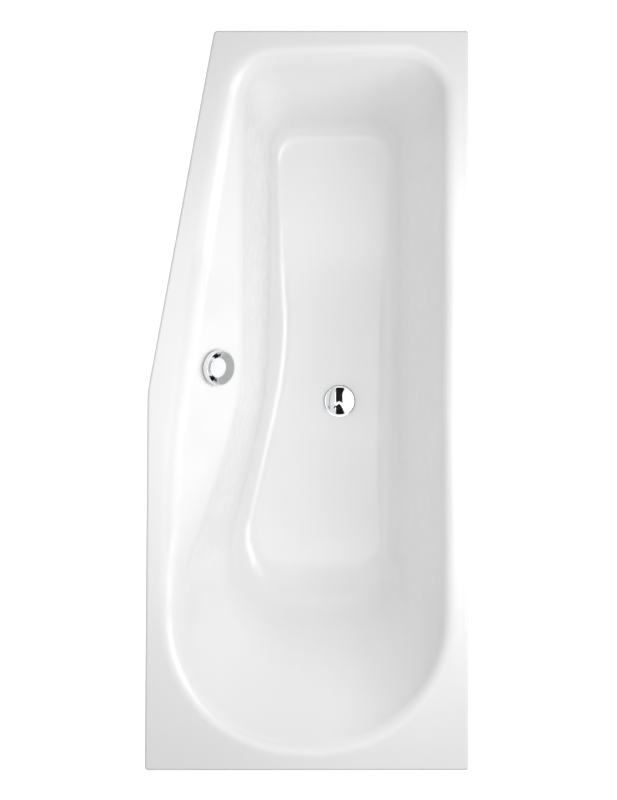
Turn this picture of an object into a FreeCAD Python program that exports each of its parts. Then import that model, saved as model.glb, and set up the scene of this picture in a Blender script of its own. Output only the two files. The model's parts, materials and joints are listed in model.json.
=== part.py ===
import FreeCAD, Part
import math
import os

from FreeCAD import Vector

# Space-saving bath of enamelled steel, with its foot frame, waste, overflow and trap.
# Millimetres. +X to the wall side, +Y to the foot end, +Z up.
# The origin is the middle of the plan, on the floor that the feet stand on.

os.makedirs("parts", exist_ok=True)

UP = Vector(0, 0, 1)
EAST = Vector(1, 0, 0)
NORTH = Vector(0, 1, 0)
OVERRUN = 2.0            # how far a cutting tool passes the face it cuts
SEAT_GAP = 0.3           # gap between a piece and a curved seat
FLUSH_GAP = 0.1          # gap under a soft washer on the pressed sheet
RUNNING_GAP = 0.05       # radial gap of a shaft in its bore

# Bath outline
BATH_LENGTH = 1600.0
BATH_WIDTH = 700.0
FOOT_END_WIDTH = 550.0
KNEE_FROM_HEAD = 818.0
KNEE_INSET = 6.0
FREE_CORNER_SETBACK = 9.0
WALL_CORNER_SETBACK = 6.0
KNEE_SETBACK = 20.0
RIM_HEIGHT = 590.0
SHEET = 3.5
SKIRT_DEPTH = 38.0
RIM_EDGE_RADIUS = 5.0

# Mouth of the basin, where the flat rim would meet the wall if it were not rolled
RIM_WALL_SIDE = 50.0
RIM_FOOT_END = 52.0
RIM_HEAD_END = 52.0
RIM_FOOT_CORNER = 47.0
RIM_KNEE = 59.0
MOUTH_KNEE_FROM_HEAD = 640.0
MOUTH_HIP_FROM_HEAD = 400.0
MOUTH_FOOT_SETBACK = 88.0
MOUTH_KNEE_SETBACK = 125.0
MOUTH_HEAD_SHARE = 0.462
RIM_ROLL = 28.0

# Shoulder that slopes from the mouth to the crease on the free side
SHOULDER_SLOPE = 39.5
CREASE_FROM_CORNER = 65.0
CREASE_KNEE_FROM_HEAD = 815.0
CREASE_END_FROM_MOUTH = 33.0
CREASE_END_FROM_HEAD = 430.0
CREASE_KNEE_SETBACK = 85.0
CREASE_FOOT_SETBACK = 75.0
CREASE_HEAD_SHARE = 0.39
CREASE_ROLL = 24.0
WALL_CREASE_SHARE = 0.14

# Floor of the basin
BASIN_DEPTH = 420.0
FLOOR_FROM_WALL = 155.0
FLOOR_FROM_CORNER = 126.0
FLOOR_FROM_FOOT = 202.0
FLOOR_KNEE_FROM_HEAD = 845.0
FLOOR_HIP_FROM_FREE = 194.0
FLOOR_HIP_FROM_HEAD = 500.0
FLOOR_HEEL_FROM_FREE = 234.0
FLOOR_HEAD_FROM_HEAD = 368.0
FLOOR_FOOT_SETBACK = 66.0
FLOOR_KNEE_SETBACK = 110.0
FLOOR_HIP_SETBACK = 30.0
FLOOR_HEEL_SETBACK = 75.0
FLOOR_WALL_SETBACK = 95.0
FLOOR_ROLL = 36.0
BACKREST_ROLL = 80.0

# Sound-deadening pads and earthing tab under the shell
PAD_WIDTH = 120.0
PAD_MARGIN = 25.0
PAD_THICKNESS = 4.0
PAD_CORNER = 12.0
EARTH_TAB_WIDTH = 24.0
EARTH_TAB_SHEET = 2.0
EARTH_TAB_DROP = 14.0
EARTH_TAB_OVERLAP = 20.0
EARTH_TAB_REACH = 26.0
EARTH_BOLT_RADIUS = 3.0
EARTH_BOLT_FLATS = 10.0
EARTH_BOLT_HEAD = 4.0
EARTH_NUT = 5.0
EARTH_BOLT_SPARE = 4.0

# Foot frame
FOOT_RAIL_FROM_FOOT = 370.0
HEAD_RAIL_FROM_HEAD = 545.0
RAIL_END = 25.0
RAIL_WIDTH = 46.0
RAIL_HEIGHT = 26.0
RAIL_SHEET = 2.5
RAIL_BEND = 4.0
STRIP_LENGTH = 160.0
STRIP_WIDTH = 40.0
STRIP_THICKNESS = 3.0
HOLE_PLAY = 0.5
STUD_SPACING = 110.0
STUD_RADIUS = 4.0
STUD_LENGTH = 24.0
STUD_FOOT_RADIUS = 8.0
STUD_FOOT = 1.5
STUD_NUT = 8.0
STUD_NUT_FLATS = 13.0
STUD_NUT_FLANGE_RADIUS = 9.0
STUD_NUT_FLANGE = 1.6
FOOT_FROM_FREE = 182.0
FOOT_FROM_WALL = 40.0
SPINDLE_RADIUS = 6.0
SPINDLE_ABOVE_RAIL = 42.5
SPINDLE_DRIVE = 12.0
SPINDLE_DRIVE_FLATS = 8.0
SPINDLE_COLLAR = 8.0
SPINDLE_COLLAR_FLATS = 19.0
WELD_NUT = 10.0
LOCK_NUT = 7.0
SPINDLE_NUT_FLATS = 19.0
SOLE_RADIUS = 35.0
SOLE_THICKNESS = 5.0
SOLE_LIP = 2.0
CUP_RADIUS = 33.0
CUP_RIM = 5.0
CUP_NECK_RADIUS = 13.0
CUP_HEIGHT = 22.0
CUP_FLOOR = 6.0

# Waste in the floor; a drop is measured down from the floor's face
DRAIN_FROM_WALL = 278.0
DRAIN_FROM_HEAD = 799.0
DRAIN_HOLE_RADIUS = 26.0
FLANGE_RADIUS = 35.0
FLANGE_THICKNESS = 2.2
FLANGE_GASKET = 1.5
FLANGE_GASKET_INSET = 2.0
SLEEVE_RADIUS = 24.0
SLEEVE_BORE = 21.0
SLEEVE_DROP = 30.0
SPOKE_WIDTH = 4.0
SPOKE_COUNT = 3
GUIDE_RADIUS = 7.0
GUIDE_DROP = 13.0
GUIDE_LENGTH = 12.0
BODY_GASKET = 3.0
BODY_GASKET_INSET = 3.0
BODY_FLANGE_RADIUS = 43.0
BODY_FLANGE = 5.0
NECK_DROP = 24.0
POT_RADIUS = 35.0
POT_WALL = 3.0
POT_DROP = 61.0
SPIGOT_RADIUS = 23.0
SPIGOT_BORE = 18.0
SPIGOT_LENGTH = 19.0
PORT_RADIUS = 20.0
PORT_BORE = 16.0
PORT_DROP = 36.0
PORT_REACH = 62.0
GLAND_ANGLE = 60.0
GLAND_DROP = 42.0
GLAND_BOSS_RADIUS = 8.0
GLAND_BOSS_REACH = 47.0
GLAND_LENGTH = 12.0
GLAND_FLATS = 13.0

# Pop-up plug and its lever
PLUG_RADIUS = 33.0
PLUG_EDGE = 3.0
PLUG_RISE = 3.6
PLUG_EDGE_ROUND = 1.2
PLUG_SEAL_RADIUS = 27.0
PLUG_SEAL_BORE = 19.0
PLUG_SEAL = 2.5
STEM_RADIUS = 4.0
STEM_HEAD_RADIUS = 9.0
STEM_HEAD = 2.0
STEM_DROP = 40.0
LEVER_ARM = 22.0
LEVER_SWING = 33.0
LEVER_NOSE_RADIUS = 5.0
LEVER_THICKNESS = 4.0
LEVER_HUB_RADIUS = 4.6
LEVER_WIDTH = 9.0
LEVER_TAIL = 7.0
PIN_RADIUS = 2.0
PIN_SETBACK = 0.6

# Overflow in the shoulder, measured along its axis from the face of the shoulder
OVERFLOW_FROM_CREASE = 62.0
OVERFLOW_FROM_HEAD = 872.0
OVERFLOW_HOLE_RADIUS = 27.0
RING_GASKET = 1.5
RING_GASKET_RADIUS = 34.0
RING_RADIUS = 36.0
RING_THICKNESS = 3.0
RING_EDGE = 1.0
RING_SLEEVE_RADIUS = 25.0
RING_SLEEVE_BORE = 21.5
RING_SLEEVE_LENGTH = 24.0
RING_HUB_RADIUS = 8.0
RING_HUB_LENGTH = 12.0
KNOB_RADIUS = 38.5
KNOB_LIFT = 2.4
KNOB_HEIGHT = 12.5
KNOB_LIP = 2.0
KNOB_LIP_ROUND = 1.0
KNOB_DISH = 10.0
KNOB_DISC_RADIUS = 21.5
KNOB_WALL = 2.5
SPINDLE_SHAFT_RADIUS = 4.0
DRUM_RADIUS = 15.0
DRUM_WIDTH = 8.0
DRUM_GROOVE = 3.0
DRUM_DEPTH = 27.0
REAR_GASKET = 2.5
REAR_GASKET_INSET = 1.5
OVERFLOW_FLANGE_RADIUS = 38.0
OVERFLOW_FLANGE = 4.0
OVERFLOW_BODY_RADIUS = 31.0
OVERFLOW_BODY_WALL = 3.0
OVERFLOW_BODY_DEPTH = 44.0
OVERFLOW_NECK_DEPTH = 25.0
SPINDLE_TIP = 2.0
TAIL_DEPTH = 31.0
TAIL_DROP = 62.0
CABLE_BOSS_OFFSET = 34.0
CABLE_BOSS_RADIUS = 7.0
CABLE_BOSS_DROP = 22.0

# Overflow pipe, its nuts and the control cable
PIPE_RADIUS = 18.0
PIPE_BORE = 16.0
PIPE_BEND_SETBACK = 46.0
PIPE_SEAL = 2.5
NUT_WALL = 5.0
NUT_LENGTH = 22.0
NUT_LIP = 5.0
NUT_RIB = 2.5
NUT_RIB_COUNT = 8
CABLE_RADIUS = 2.75
CABLE_BEND_SETBACK = 130.0
CABLE_TURN_SETBACK = 70.0
CABLE_TURN_REACH = 130.0

# Trap and outlet
TRAP_RADIUS = 20.0
TRAP_BORE = 18.0
TRAP_SEAL = 3.0
TRAP_COLLAR_RADIUS = 22.6
TRAP_COLLAR = 4.0
TRAP_BEND_RADIUS = 40.0
TRAP_LEG = 7.0
RISER_SPIGOT = 12.0
ELBOW_RADIUS = 36.0
ELBOW_LEG = 6.0
OUTLET_REACH = 153.0
CLEANER_BOSS_RADIUS = 14.0
CLEANER_BOSS_REACH = 27.0
CLEANER_BORE = 11.0
CLEANER_CAP_RADIUS = 17.0
CLEANER_CAP = 6.0
CLEANER_PLUG_LENGTH = 5.0
CLEANER_SLOT = 3.0

HEAD_Y = -BATH_LENGTH / 2
FOOT_Y = BATH_LENGTH / 2
FREE_X = -BATH_WIDTH / 2
WALL_X = BATH_WIDTH / 2
FLOOR_Z = RIM_HEIGHT - BASIN_DEPTH
FLOOR_UNDER_Z = FLOOR_Z - SHEET
FOOT_CORNER_X = WALL_X - FOOT_END_WIDTH
CREASE_X = FOOT_CORNER_X + CREASE_FROM_CORNER
MOUTH_WIDTH = BATH_WIDTH - RIM_WALL_SIDE - RIM_KNEE
FOOT_XS = (FREE_X + FOOT_FROM_FREE, WALL_X - FOOT_FROM_WALL)
FRAME_X = (FOOT_XS[0] + FOOT_XS[1]) / 2
RAIL_LENGTH = FOOT_XS[1] - FOOT_XS[0] + 2 * RAIL_END
MIDDLE_SHARE = 0.5

# Pole counts round the basin: one count for each corner and for the side after it
CORNER_SPANS = (6, 6, 4, 3, 8, 8)
SIDE_SPANS = (3, 10, 4, 2, 4, 8)


def unit(vector):
    return vector * (1.0 / vector.Length)


def corner_ends(points, setbacks, index):
    """Where the round of one corner begins and ends on the sides beside it."""
    corner = points[index]
    before = unit(points[index - 1] - corner)
    after = unit(points[(index + 1) % len(points)] - corner)
    return corner + before * setbacks[index], corner + after * setbacks[index]


def corner_arc(start, corner, end, share):
    """Point of the arc that touches both sides of a corner, as a rational quadratic."""
    turn = unit(corner - start).getAngle(unit(end - corner))
    weight = math.cos(turn / 2)
    first = (1 - share) ** 2
    middle = 2 * weight * share * (1 - share)
    last = share ** 2
    return (start * first + corner * middle + end * last) * (1.0 / (first + middle + last))


def ring_poles(points, setbacks):
    """Poles round one ring of the basin: arcs at the corners, straight sides between them."""
    poles = []
    for index, corner in enumerate(points):
        start, end = corner_ends(points, setbacks, index)
        following = (index + 1) % len(points)
        side_end = corner_ends(points, setbacks, following)[0]
        for step in range(CORNER_SPANS[index]):
            poles.append(corner_arc(start, corner, end, step / CORNER_SPANS[index]))
        for step in range(SIDE_SPANS[index]):
            poles.append(end + (side_end - end) * (step / SIDE_SPANS[index]))
    return poles


def rounded_wire(points, setbacks):
    """Closed wire of straight sides and tangent arcs through the given corners."""
    edges = []
    for index, corner in enumerate(points):
        start, end = corner_ends(points, setbacks, index)
        following = (index + 1) % len(points)
        side_end = corner_ends(points, setbacks, following)[0]
        middle = corner_arc(start, corner, end, MIDDLE_SHARE)
        edges.append(Part.Arc(start, middle, end).toShape())
        edges.append(Part.LineSegment(end, side_end).toShape())
    return Part.Wire(edges)


def rim_outline(z):
    """Corners of the rim, from the wall side of the foot end, anticlockwise."""
    knee_x = FREE_X + KNEE_INSET
    return [
        Vector(WALL_X, FOOT_Y, z),
        Vector(WALL_X - FOOT_END_WIDTH, FOOT_Y, z),
        Vector(knee_x, HEAD_Y + KNEE_FROM_HEAD, z),
        Vector(FREE_X, HEAD_Y, z),
        Vector(WALL_X, HEAD_Y, z),
    ]


RIM_SETBACKS = (
    WALL_CORNER_SETBACK,
    FREE_CORNER_SETBACK,
    KNEE_SETBACK,
    FREE_CORNER_SETBACK,
    WALL_CORNER_SETBACK,
)


def mouth_outline():
    foot_corner = Vector(FOOT_CORNER_X + RIM_FOOT_CORNER, FOOT_Y - RIM_FOOT_END, RIM_HEIGHT)
    knee = Vector(FREE_X + RIM_KNEE, HEAD_Y + MOUTH_KNEE_FROM_HEAD, RIM_HEIGHT)
    return [
        Vector(WALL_X - RIM_WALL_SIDE, FOOT_Y - RIM_FOOT_END, RIM_HEIGHT),
        foot_corner,
        knee,
        Vector(knee.x, HEAD_Y + MOUTH_HIP_FROM_HEAD, RIM_HEIGHT),
        Vector(knee.x, HEAD_Y + RIM_HEAD_END, RIM_HEIGHT),
        Vector(WALL_X - RIM_WALL_SIDE, HEAD_Y + RIM_HEAD_END, RIM_HEIGHT),
    ]


MOUTH_SETBACKS = (
    MOUTH_FOOT_SETBACK,
    MOUTH_FOOT_SETBACK,
    MOUTH_KNEE_SETBACK,
    FLOOR_HIP_SETBACK,
    MOUTH_HEAD_SHARE * MOUTH_WIDTH,
    MOUTH_HEAD_SHARE * MOUTH_WIDTH,
)


def floor_outline():
    return [
        Vector(WALL_X - FLOOR_FROM_WALL, FOOT_Y - FLOOR_FROM_FOOT, FLOOR_Z),
        Vector(FOOT_CORNER_X + FLOOR_FROM_CORNER, FOOT_Y - FLOOR_FROM_FOOT, FLOOR_Z),
        Vector(FOOT_CORNER_X + FLOOR_FROM_CORNER, HEAD_Y + FLOOR_KNEE_FROM_HEAD, FLOOR_Z),
        Vector(FREE_X + FLOOR_HIP_FROM_FREE, HEAD_Y + FLOOR_HIP_FROM_HEAD, FLOOR_Z),
        Vector(FREE_X + FLOOR_HEEL_FROM_FREE, HEAD_Y + FLOOR_HEAD_FROM_HEAD, FLOOR_Z),
        Vector(WALL_X - FLOOR_FROM_WALL, HEAD_Y + FLOOR_HEAD_FROM_HEAD, FLOOR_Z),
    ]


FLOOR_SETBACKS = (
    FLOOR_FOOT_SETBACK,
    FLOOR_FOOT_SETBACK,
    FLOOR_KNEE_SETBACK,
    FLOOR_HIP_SETBACK,
    FLOOR_HEEL_SETBACK,
    FLOOR_WALL_SETBACK,
)


def shoulder_normal():
    """Normal of the plane shoulder: it holds the straight free side of the mouth."""
    mouth = mouth_outline()
    along = unit(mouth[2] - mouth[1])
    inward = UP.cross(along)
    slope = math.radians(SHOULDER_SLOPE)
    return UP * math.cos(slope) + inward * math.sin(slope)


def on_shoulder(x, y):
    """Point of the shoulder plane above one place of the plan."""
    normal = shoulder_normal()
    edge = mouth_outline()[1]
    fall = (normal.x * (x - edge.x) + normal.y * (y - edge.y)) / normal.z
    return Vector(x, y, edge.z - fall)


def crease_outline():
    """Ring where the shoulder, or the upper wall, turns into the lower wall."""
    mouth = mouth_outline()
    floor = floor_outline()

    def on_wall(index):
        return mouth[index] + (floor[index] - mouth[index]) * WALL_CREASE_SHARE

    foot_y = on_wall(1).y
    return [
        on_wall(0),
        on_shoulder(CREASE_X, foot_y),
        on_shoulder(CREASE_X, HEAD_Y + CREASE_KNEE_FROM_HEAD),
        on_shoulder(mouth[2].x + CREASE_END_FROM_MOUTH, HEAD_Y + CREASE_END_FROM_HEAD),
        on_wall(4),
        on_wall(5),
    ]


CREASE_SETBACKS = (
    CREASE_FOOT_SETBACK,
    CREASE_FOOT_SETBACK,
    CREASE_KNEE_SETBACK,
    FLOOR_HIP_SETBACK,
    CREASE_HEAD_SHARE * MOUTH_WIDTH,
    CREASE_HEAD_SHARE * MOUTH_WIDTH,
)


def level(vector):
    return unit(Vector(vector.x, vector.y, 0))


def leg_normals(upper, lower):
    """Normals, pointing into the basin, of the wall strip between two rings of poles."""
    normals = []
    count = len(upper)
    for index in range(count):
        following = (index + 1) % count
        along = upper[following] - upper[index - 1] + lower[following] - lower[index - 1]
        normals.append(unit((upper[index] - lower[index]).cross(along)))
    return normals


def mitre(first, second):
    """Shift that moves both strips beside a corner back by one unit."""
    return (first + second) * (1.0 / (1 + first.dot(second)))


def outward_ways(ring):
    """Level directions that lead out of a ring, one for each of its poles."""
    ways = []
    for index in range(len(ring)):
        along = ring[(index + 1) % len(ring)] - ring[index - 1]
        ways.append(unit(along.cross(UP)))
    return ways


def basin_rows(depth):
    """Rows of poles from the rim to the floor, set back from the inner face by depth."""
    mouth = ring_poles(mouth_outline(), MOUTH_SETBACKS)
    crease = ring_poles(crease_outline(), CREASE_SETBACKS)
    floor = ring_poles(floor_outline(), FLOOR_SETBACKS)
    upper_normals = leg_normals(mouth, crease)
    lower_normals = leg_normals(crease, floor)
    outward = outward_ways(mouth)
    columns = []
    stations = zip(mouth, crease, floor, upper_normals, lower_normals, outward)
    for top, turn, foot, upper, lower, out in stations:
        upper_way = unit(turn - top)
        lower_way = unit(foot - turn)
        lean = level(lower_way)
        recline_share = max(0.0, lean.y) ** 2
        floor_roll = FLOOR_ROLL + (BACKREST_ROLL - FLOOR_ROLL) * recline_share
        places = (
            (top + out * RIM_ROLL, UP),
            (top, mitre(UP, upper)),
            (top + upper_way * RIM_ROLL, upper),
            (turn - upper_way * CREASE_ROLL, upper),
            (turn, mitre(upper, lower)),
            (turn + lower_way * CREASE_ROLL, lower),
            (foot - lower_way * floor_roll, lower),
            (foot, mitre(lower, UP)),
            (foot + lean * floor_roll, UP),
        )
        columns.append([place - shift * depth for place, shift in places])
    return list(zip(*columns))


def ring_face(rows):
    """Closed strip of the basin: cubic and periodic round it, one curve piece down it."""
    degree = len(rows) - 1
    count = len(rows[0])
    surface = Part.BSplineSurface()
    poles = [[row[index] for row in rows] for index in range(count)]
    round_knots = [float(knot) for knot in range(count + 1)]
    surface.buildFromPolesMultsKnots(
        poles,
        [1] * (count + 1),
        [degree + 1, degree + 1],
        round_knots,
        [0.0, 1.0],
        True,
        False,
        3,
        degree,
    )
    return surface.toShape()


def basin_faces(depth):
    """Strips of one side of the wall, from the rim roll to the flat floor."""
    rows = basin_rows(depth)
    spans = (rows[0:3], rows[2:4], rows[3:6], rows[5:7], rows[6:9])
    return [ring_face(span) for span in spans]


def level_edge(face, z):
    """The closed edge of a strip that lies at one height."""
    for edge in face.Edges:
        if abs(edge.BoundBox.ZMin - z) < FLUSH_GAP and abs(edge.BoundBox.ZMax - z) < FLUSH_GAP:
            return edge
    raise ValueError("no level edge")


def rim_tray():
    """Rim and skirt before the mouth is cut: a tray upside down, rolled at its edge."""
    top = Part.Face(rounded_wire(rim_outline(RIM_HEIGHT), RIM_SETBACKS))
    outer = top.extrude(UP * -SKIRT_DEPTH)
    outer = outer.makeFillet(RIM_EDGE_RADIUS, flat_edges(outer, RIM_HEIGHT))
    inner_top = top.makeOffset2D(-SHEET)
    inner_top.translate(UP * -SHEET)
    inner = inner_top.extrude(UP * -SKIRT_DEPTH)
    inner = inner.makeFillet(RIM_EDGE_RADIUS - SHEET, flat_edges(inner, RIM_HEIGHT - SHEET))
    return outer.cut(inner)


def flat_edges(shape, z):
    """Edges of a shape that lie flat at one height."""
    found = []
    for edge in shape.Edges:
        box = edge.BoundBox
        if abs(box.ZMin - z) < FLUSH_GAP and abs(box.ZMax - z) < FLUSH_GAP:
            found.append(edge)
    return found


def bath_shell():
    """The pressed sheet: tray, basin strips and floor sewn into one closed skin."""
    inside = basin_faces(0.0)
    outside = basin_faces(SHEET)
    faces = inside + outside
    holes = {RIM_HEIGHT: inside[0], RIM_HEIGHT - SHEET: outside[0]}
    for face in rim_tray().Faces:
        z = face.BoundBox.ZMax
        plane = face.BoundBox.ZLength < FLUSH_GAP
        hole = [strip for key, strip in holes.items() if plane and abs(key - z) < FLUSH_GAP]
        if hole:
            ring = Part.Wire([level_edge(hole[0], z)])
            faces.append(Part.makeFace([face.OuterWire, ring], "Part::FaceMakerBullseye"))
        else:
            faces.append(face)
    faces.append(Part.Face(Part.Wire([level_edge(inside[-1], FLOOR_Z)])))
    faces.append(Part.Face(Part.Wire([level_edge(outside[-1], FLOOR_UNDER_Z)])))
    skin = Part.Shell(faces)
    skin.sewShape()
    if Part.Solid(skin).Volume < 0:
        skin = skin.reversed()
    return Part.Solid(skin)


def tube(outer, inner, low, high):
    """Upright ring or, with no inner radius, upright disc."""
    shape = Part.makeCylinder(outer, high - low, UP * low)
    if inner:
        core = Part.makeCylinder(inner, high - low + 2 * OVERRUN, UP * (low - OVERRUN))
        shape = shape.cut(core)
    return shape


def turned(profile):
    """Solid turned about the upright axis from (radius, height) corners."""
    points = [Vector(radius, 0, height) for radius, height in profile]
    face = Part.Face(Part.makePolygon(points + points[:1]))
    return face.revolve(Vector(), UP, 360)


def hexagon(flats, low, high):
    """Upright hexagonal prism, by its width across the flats."""
    radius = flats / math.sqrt(3)
    corners = [Vector(radius * math.cos(turn), radius * math.sin(turn), low)
               for turn in [math.radians(60 * step) for step in range(6)]]
    return Part.Face(Part.makePolygon(corners + corners[:1])).extrude(UP * (high - low))


def hex_nut(flats, bore, low, high):
    return hexagon(flats, low, high).cut(tube(bore, 0, low - OVERRUN, high + OVERRUN))


def moved(shape, place):
    copy = shape.copy()
    copy.translate(place)
    return copy


def aimed(shape, place, way):
    """Copy of an upright shape with its axis turned to a way and its origin set at a place."""
    copy = shape.copy()
    copy.Placement = FreeCAD.Placement(place, FreeCAD.Rotation(UP, way))
    return copy


def route_wire(points, setbacks):
    """Open path of straight runs joined by tangent arcs at the inner points."""
    edges = []
    last = points[0]
    for index in range(1, len(points) - 1):
        start, end = corner_ends(points, setbacks, index)
        middle = corner_arc(start, points[index], end, MIDDLE_SHARE)
        edges.append(Part.LineSegment(last, start).toShape())
        edges.append(Part.Arc(start, middle, end).toShape())
        last = end
    edges.append(Part.LineSegment(last, points[-1]).toShape())
    return Part.Wire(edges)


def swept(path, radius):
    """Round bar along a path."""
    start = path.Vertexes[0].Point
    way = path.Edges[0].tangentAt(path.Edges[0].FirstParameter)
    section = Part.Wire([Part.Circle(start, way, radius).toShape()])
    return path.makePipeShell([section], True, False)


def pipe_along(path, outer, inner):
    return swept(path, outer).cut(swept(path, inner))


def union_nut(bore, pipe):
    """Ribbed union nut on an upright axis: thread upwards from 0, lip below it round the pipe."""
    outer = bore + NUT_WALL
    nut = tube(outer, bore, 0, NUT_LENGTH - NUT_LIP)
    nut = nut.fuse(tube(outer, pipe, -NUT_LIP, 0))
    rib = Part.makeBox(2 * NUT_RIB, NUT_RIB, NUT_LENGTH)
    rib.translate(Vector(outer - NUT_RIB, -NUT_RIB / 2, -NUT_LIP))
    for step in range(NUT_RIB_COUNT):
        turn = rib.copy()
        turn.rotate(Vector(), UP, 360 * step / NUT_RIB_COUNT)
        nut = nut.fuse(turn)
    return nut.removeSplitter()


# Places in the plan
DRAIN = Vector(WALL_X - DRAIN_FROM_WALL, HEAD_Y + DRAIN_FROM_HEAD, 0)
OVERFLOW = on_shoulder(CREASE_X - OVERFLOW_FROM_CREASE, HEAD_Y + OVERFLOW_FROM_HEAD)
OVERFLOW_AXIS = shoulder_normal()
RAIL_YS = (FOOT_Y - FOOT_RAIL_FROM_FOOT, HEAD_Y + HEAD_RAIL_FROM_HEAD)
RAIL_TOP_Z = FLOOR_UNDER_Z - STRIP_THICKNESS
WEB_UNDER_Z = RAIL_TOP_Z - RAIL_SHEET
SPINDLE_TOP_Z = RAIL_TOP_Z + SPINDLE_ABOVE_RAIL
STUD_PLACES = [Vector(FRAME_X + side * STUD_SPACING / 2, y, 0) for y in RAIL_YS for side in (-1, 1)]
FOOT_PLACES = [Vector(x, y, 0) for y in RAIL_YS for x in FOOT_XS]
FOOT_NAMES = ("foot_free_side", "foot_wall_side", "head_free_side", "head_wall_side")


def holed_shell():
    drain = moved(tube(DRAIN_HOLE_RADIUS, 0, FLOOR_UNDER_Z - OVERRUN, FLOOR_Z + OVERRUN), DRAIN)
    overflow = tube(OVERFLOW_HOLE_RADIUS, 0, -SHEET - OVERRUN, OVERRUN)
    return bath_shell().cut(drain).cut(aimed(overflow, OVERFLOW, OVERFLOW_AXIS)).Solids[0]


def floor_pads():
    """Deadening pads with round corners, glued under the floor between the waste and each rail."""
    pads = []
    waste = BODY_FLANGE_RADIUS + PAD_MARGIN
    rail_edge = RAIL_WIDTH / 2 + PAD_MARGIN
    spans = ((DRAIN.y + waste, RAIL_YS[0] - rail_edge), (RAIL_YS[1] + rail_edge, DRAIN.y - waste))
    for low, high in spans:
        pad = Part.makeBox(PAD_WIDTH, high - low, PAD_THICKNESS)
        pad.translate(Vector(FRAME_X - PAD_WIDTH / 2, low, FLOOR_UNDER_Z - PAD_THICKNESS))
        pads.append(pad.makeFillet(PAD_CORNER, upright_edges(pad)))
    return Part.makeCompound(pads)


def upright_edges(shape):
    return [edge for edge in shape.Edges
            if edge.BoundBox.XLength < FLUSH_GAP and edge.BoundBox.YLength < FLUSH_GAP]


# Earthing tab: an angle welded inside the skirt of the foot end
TAB_Z = RIM_HEIGHT - SKIRT_DEPTH - EARTH_TAB_DROP
TAB_BACK_Y = FOOT_Y - SHEET
EARTH_BOLT_PLACE = Vector(0, TAB_BACK_Y - EARTH_TAB_REACH / 2, TAB_Z)


def earth_tab():
    height = EARTH_TAB_DROP + EARTH_TAB_OVERLAP
    upright = Part.makeBox(EARTH_TAB_WIDTH, EARTH_TAB_SHEET, height)
    upright.translate(Vector(-EARTH_TAB_WIDTH / 2, TAB_BACK_Y - EARTH_TAB_SHEET, TAB_Z))
    ledge = Part.makeBox(EARTH_TAB_WIDTH, EARTH_TAB_REACH, EARTH_TAB_SHEET)
    ledge.translate(Vector(-EARTH_TAB_WIDTH / 2, TAB_BACK_Y - EARTH_TAB_REACH, TAB_Z))
    hole = tube(EARTH_BOLT_RADIUS + HOLE_PLAY, 0, -OVERRUN, EARTH_TAB_SHEET + OVERRUN)
    return upright.fuse(ledge).cut(moved(hole, EARTH_BOLT_PLACE)).removeSplitter()


def earth_bolt():
    top = EARTH_TAB_SHEET + EARTH_NUT + EARTH_BOLT_SPARE
    bolt = hexagon(EARTH_BOLT_FLATS, -EARTH_BOLT_HEAD, 0).fuse(tube(EARTH_BOLT_RADIUS, 0, 0, top))
    return moved(bolt, EARTH_BOLT_PLACE)


def earth_nut():
    bore = EARTH_BOLT_RADIUS + RUNNING_GAP
    nut = hex_nut(EARTH_BOLT_FLATS, bore, EARTH_TAB_SHEET, EARTH_TAB_SHEET + EARTH_NUT)
    return moved(nut, EARTH_BOLT_PLACE)


def rail(y):
    """Folded channel, open below, with holes for its two studs and its two feet."""
    outer = Part.makeBox(RAIL_LENGTH, RAIL_WIDTH, RAIL_HEIGHT)
    outer.translate(Vector(FRAME_X - RAIL_LENGTH / 2, y - RAIL_WIDTH / 2, RAIL_TOP_Z - RAIL_HEIGHT))
    outer = outer.makeFillet(RAIL_BEND, long_edges(outer, RAIL_TOP_Z))
    inner = Part.makeBox(RAIL_LENGTH + 2 * OVERRUN, RAIL_WIDTH - 2 * RAIL_SHEET, RAIL_HEIGHT)
    inner.translate(Vector(
        FRAME_X - RAIL_LENGTH / 2 - OVERRUN,
        y - RAIL_WIDTH / 2 + RAIL_SHEET,
        WEB_UNDER_Z - RAIL_HEIGHT,
    ))
    inner = inner.makeFillet(RAIL_BEND - RAIL_SHEET, long_edges(inner, WEB_UNDER_Z))
    channel = outer.cut(inner)
    for places, radius in ((STUD_PLACES, STUD_RADIUS), (FOOT_PLACES, SPINDLE_RADIUS)):
        hole = tube(radius + HOLE_PLAY, 0, WEB_UNDER_Z - OVERRUN, RAIL_TOP_Z + OVERRUN)
        for place in places:
            if place.y == y:
                channel = channel.cut(moved(hole, place))
    return channel


def long_edges(shape, z):
    return [edge for edge in flat_edges(shape, z) if edge.BoundBox.XLength > RAIL_LENGTH / 2]


def rail_strips():
    """Rubber strip between each rail and the floor, pierced for the welded studs."""
    strips = []
    for y in RAIL_YS:
        strip = Part.makeBox(STRIP_LENGTH, STRIP_WIDTH, STRIP_THICKNESS)
        strip.translate(Vector(FRAME_X - STRIP_LENGTH / 2, y - STRIP_WIDTH / 2, RAIL_TOP_Z))
        hole = tube(STUD_FOOT_RADIUS + HOLE_PLAY, 0, RAIL_TOP_Z - OVERRUN, FLOOR_UNDER_Z + OVERRUN)
        for place in STUD_PLACES:
            if place.y == y:
                strip = strip.cut(moved(hole, place))
        strips.append(strip)
    return Part.makeCompound(strips)


def rail_studs():
    foot = tube(STUD_FOOT_RADIUS, 0, FLOOR_UNDER_Z - STUD_FOOT, FLOOR_UNDER_Z)
    stud = foot.fuse(tube(STUD_RADIUS, 0, FLOOR_UNDER_Z - STUD_LENGTH, FLOOR_UNDER_Z - STUD_FOOT))
    return Part.makeCompound([moved(stud, place) for place in STUD_PLACES])


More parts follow.
